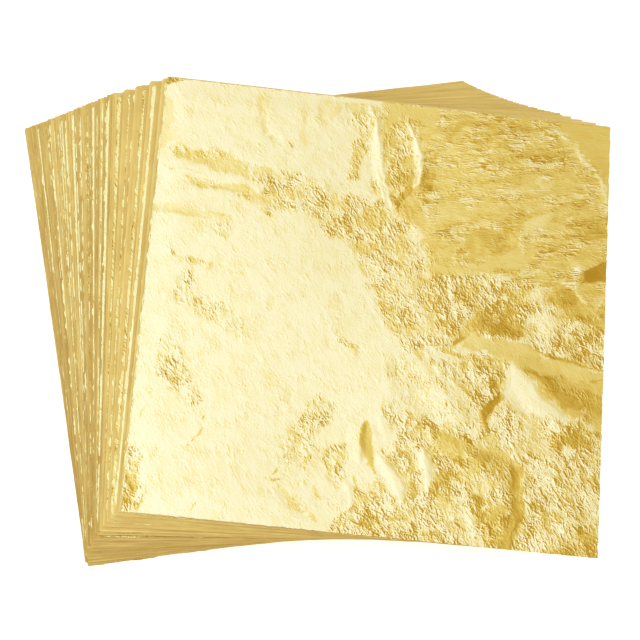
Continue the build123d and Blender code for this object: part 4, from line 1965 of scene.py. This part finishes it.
@dataclass
class Studio:
    """Floor, light and camera.

    Attributes:
        distance: from the camera to its target.
        azimuth: heading of the view in degrees, as the frame's views count it.
        elevation: how steeply the camera looks down, in degrees.
        roll: how far the camera leans, in degrees.
        target: the point that it looks at.
        focal_share: focal length as a share of the picture's width.
        plain: even light that falls on the floor and the tissue.
        dim: warm light that the gold mirrors from the far side of the room.
        bright: light that it mirrors from the large panel overhead on the left.
        panel: heading of that panel.
        panel_edge: cosines of the angles from its middle where its light has gone and is full.
        key_power: power of the soft light at the front left, in watts.
        key_size: side of that light.
        key_place: where it hangs.
        floor_glow: light that the floor gives off, which keeps it white.
        floor_half: half the side of the floor.
        floor_drop: how far the floor lies below the pack.
        floor_colour: its colour.
        floor_roughness: its roughness.
        glow_colour: colour of the light that it gives off.
        sensor: width of the camera's sensor, in millimetres.
    """

    distance: float = 0.7076
    azimuth: float = -26.485
    elevation: float = 68.683
    roll: float = 17.65
    target: tuple[float, float, float] = (0.01028, -0.00407, 0.0)
    focal_share: float = 3.6214
    plain: Colour = (0.92, 0.92, 0.92, 1)
    dim: Colour = (0.80, 0.72, 0.52, 1)
    bright: Colour = (1.10, 1.10, 1.10, 1)
    panel: tuple[float, float, float] = (-0.36, 0.24, 0.90)
    panel_edge: tuple[float, float] = (0.74, 0.95)
    key_power: float = 2.5
    key_size: float = 0.9
    key_place: tuple[float, float, float] = (-0.75, -0.55, 1.15)
    floor_glow: float = 0.45
    floor_half: float = 3.0
    floor_drop: float = 0.02 * MM
    floor_colour: Colour = (0.95, 0.95, 0.95, 1)
    floor_roughness: float = 0.9
    glow_colour: Colour = (1, 1, 1, 1)
    sensor: float = 36

    def camera(self) -> bpy.types.Object:
        """Sets up the camera.

        Returns:
            The camera, which is the scene's own.
        """
        heading, pitch, lean = (math.radians(a) for a in (self.azimuth, self.elevation, self.roll))
        level = Vector((math.cos(heading), math.sin(heading), 0))
        forward = Vector((-math.sin(heading), math.cos(heading), 0))
        ahead = forward * math.cos(pitch) - Vector((0, 0, math.sin(pitch)))
        upright = level.cross(ahead)
        right = level * math.cos(lean) + upright * math.sin(lean)
        above = upright * math.cos(lean) - level * math.sin(lean)
        data = bpy.data.cameras.new("camera")
        data.sensor_width = self.sensor
        data.lens = self.focal_share * data.sensor_width
        camera = bpy.data.objects.new("camera", data)
        spot = Vector(self.target) - ahead * self.distance
        camera.matrix_world = Matrix((
            (right.x, above.x, -ahead.x, spot.x),
            (right.y, above.y, -ahead.y, spot.y),
            (right.z, above.z, -ahead.z, spot.z),
            (0, 0, 0, 1),
        ))
        bpy.context.scene.collection.objects.link(camera)
        bpy.context.scene.camera = camera
        return camera

    def floor(self) -> bpy.types.Object:
        """Makes the plain pale floor."""
        half = self.floor_half
        corners = [(-half, -half, 0), (half, -half, 0), (half, half, 0), (-half, half, 0)]
        mesh = bpy.data.meshes.new("floor")
        mesh.from_pydata(corners, [], [(0, 1, 2, 3)])
        material = bpy.data.materials.new("floor_white")
        material.use_nodes = True
        shader = material.node_tree.nodes["Principled BSDF"]
        shader.inputs["Base Color"].default_value = self.floor_colour
        shader.inputs["Roughness"].default_value = self.floor_roughness
        shader.inputs["Emission Color"].default_value = self.glow_colour
        shader.inputs["Emission Strength"].default_value = self.floor_glow
        mesh.materials.append(material)
        floor = bpy.data.objects.new("floor", mesh)
        floor.location.z = -self.floor_drop
        bpy.context.scene.collection.objects.link(floor)
        return floor

    def sky(self) -> None:
        """Lights the set evenly, and gives the gold a bright panel and a dim room to mirror."""
        world = bpy.data.worlds.new("studio")
        bpy.context.scene.world = world
        world.use_nodes = True
        tree = world.node_tree
        tree.nodes.clear()
        make = Nodes(tree)
        heading = make.add("TexCoord").outputs["Generated"]
        unit = make.add("VectorMath", {"operation": "NORMALIZE"}, in0=heading).outputs[0]
        key = Vector(self.panel).normalized()
        near = make.add("VectorMath", {"operation": "DOT_PRODUCT"}, in0=unit, in1=key).outputs["Value"]
        mirrored = make.mix(make.span(near, *self.panel_edge), self.dim, self.bright)
        glossy = make.add("LightPath").outputs["Is Glossy Ray"]
        background = make.add("Background", {}, Color=make.mix(glossy, self.plain, mirrored), Strength=1.0)
        output = make.add("OutputWorld")
        tree.links.new(background.outputs[0], output.inputs[0])

    def key_light(self) -> None:
        """Hangs one large soft light at the front left."""
        data = bpy.data.lights.new("key", "AREA")
        data.shape = "SQUARE"
        data.size = self.key_size
        data.energy = self.key_power
        light = bpy.data.objects.new("key", data)
        light.location = self.key_place
        light.rotation_mode = "QUATERNION"
        light.rotation_quaternion = (-light.location).to_track_quat("-Z", "Y")
        bpy.context.scene.collection.objects.link(light)

    def build(self) -> None:
        """Sets up the floor, the lights, the camera and the plain colour handling."""
        self.camera()
        self.floor()
        self.sky()
        self.key_light()
        bpy.context.scene.view_settings.view_transform = "Standard"


def main() -> None:
    """Loads the frame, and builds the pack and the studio."""
    logging.basicConfig(level=logging.INFO, format="%(name)s: %(message)s")
    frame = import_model()
    Studio().build()
    pack = Pack(frame, Groups(foil_crinkle_group(), paper_fibre_group()))
    pack.dress()
    pack.build()


if __name__ == "__main__":
    main()
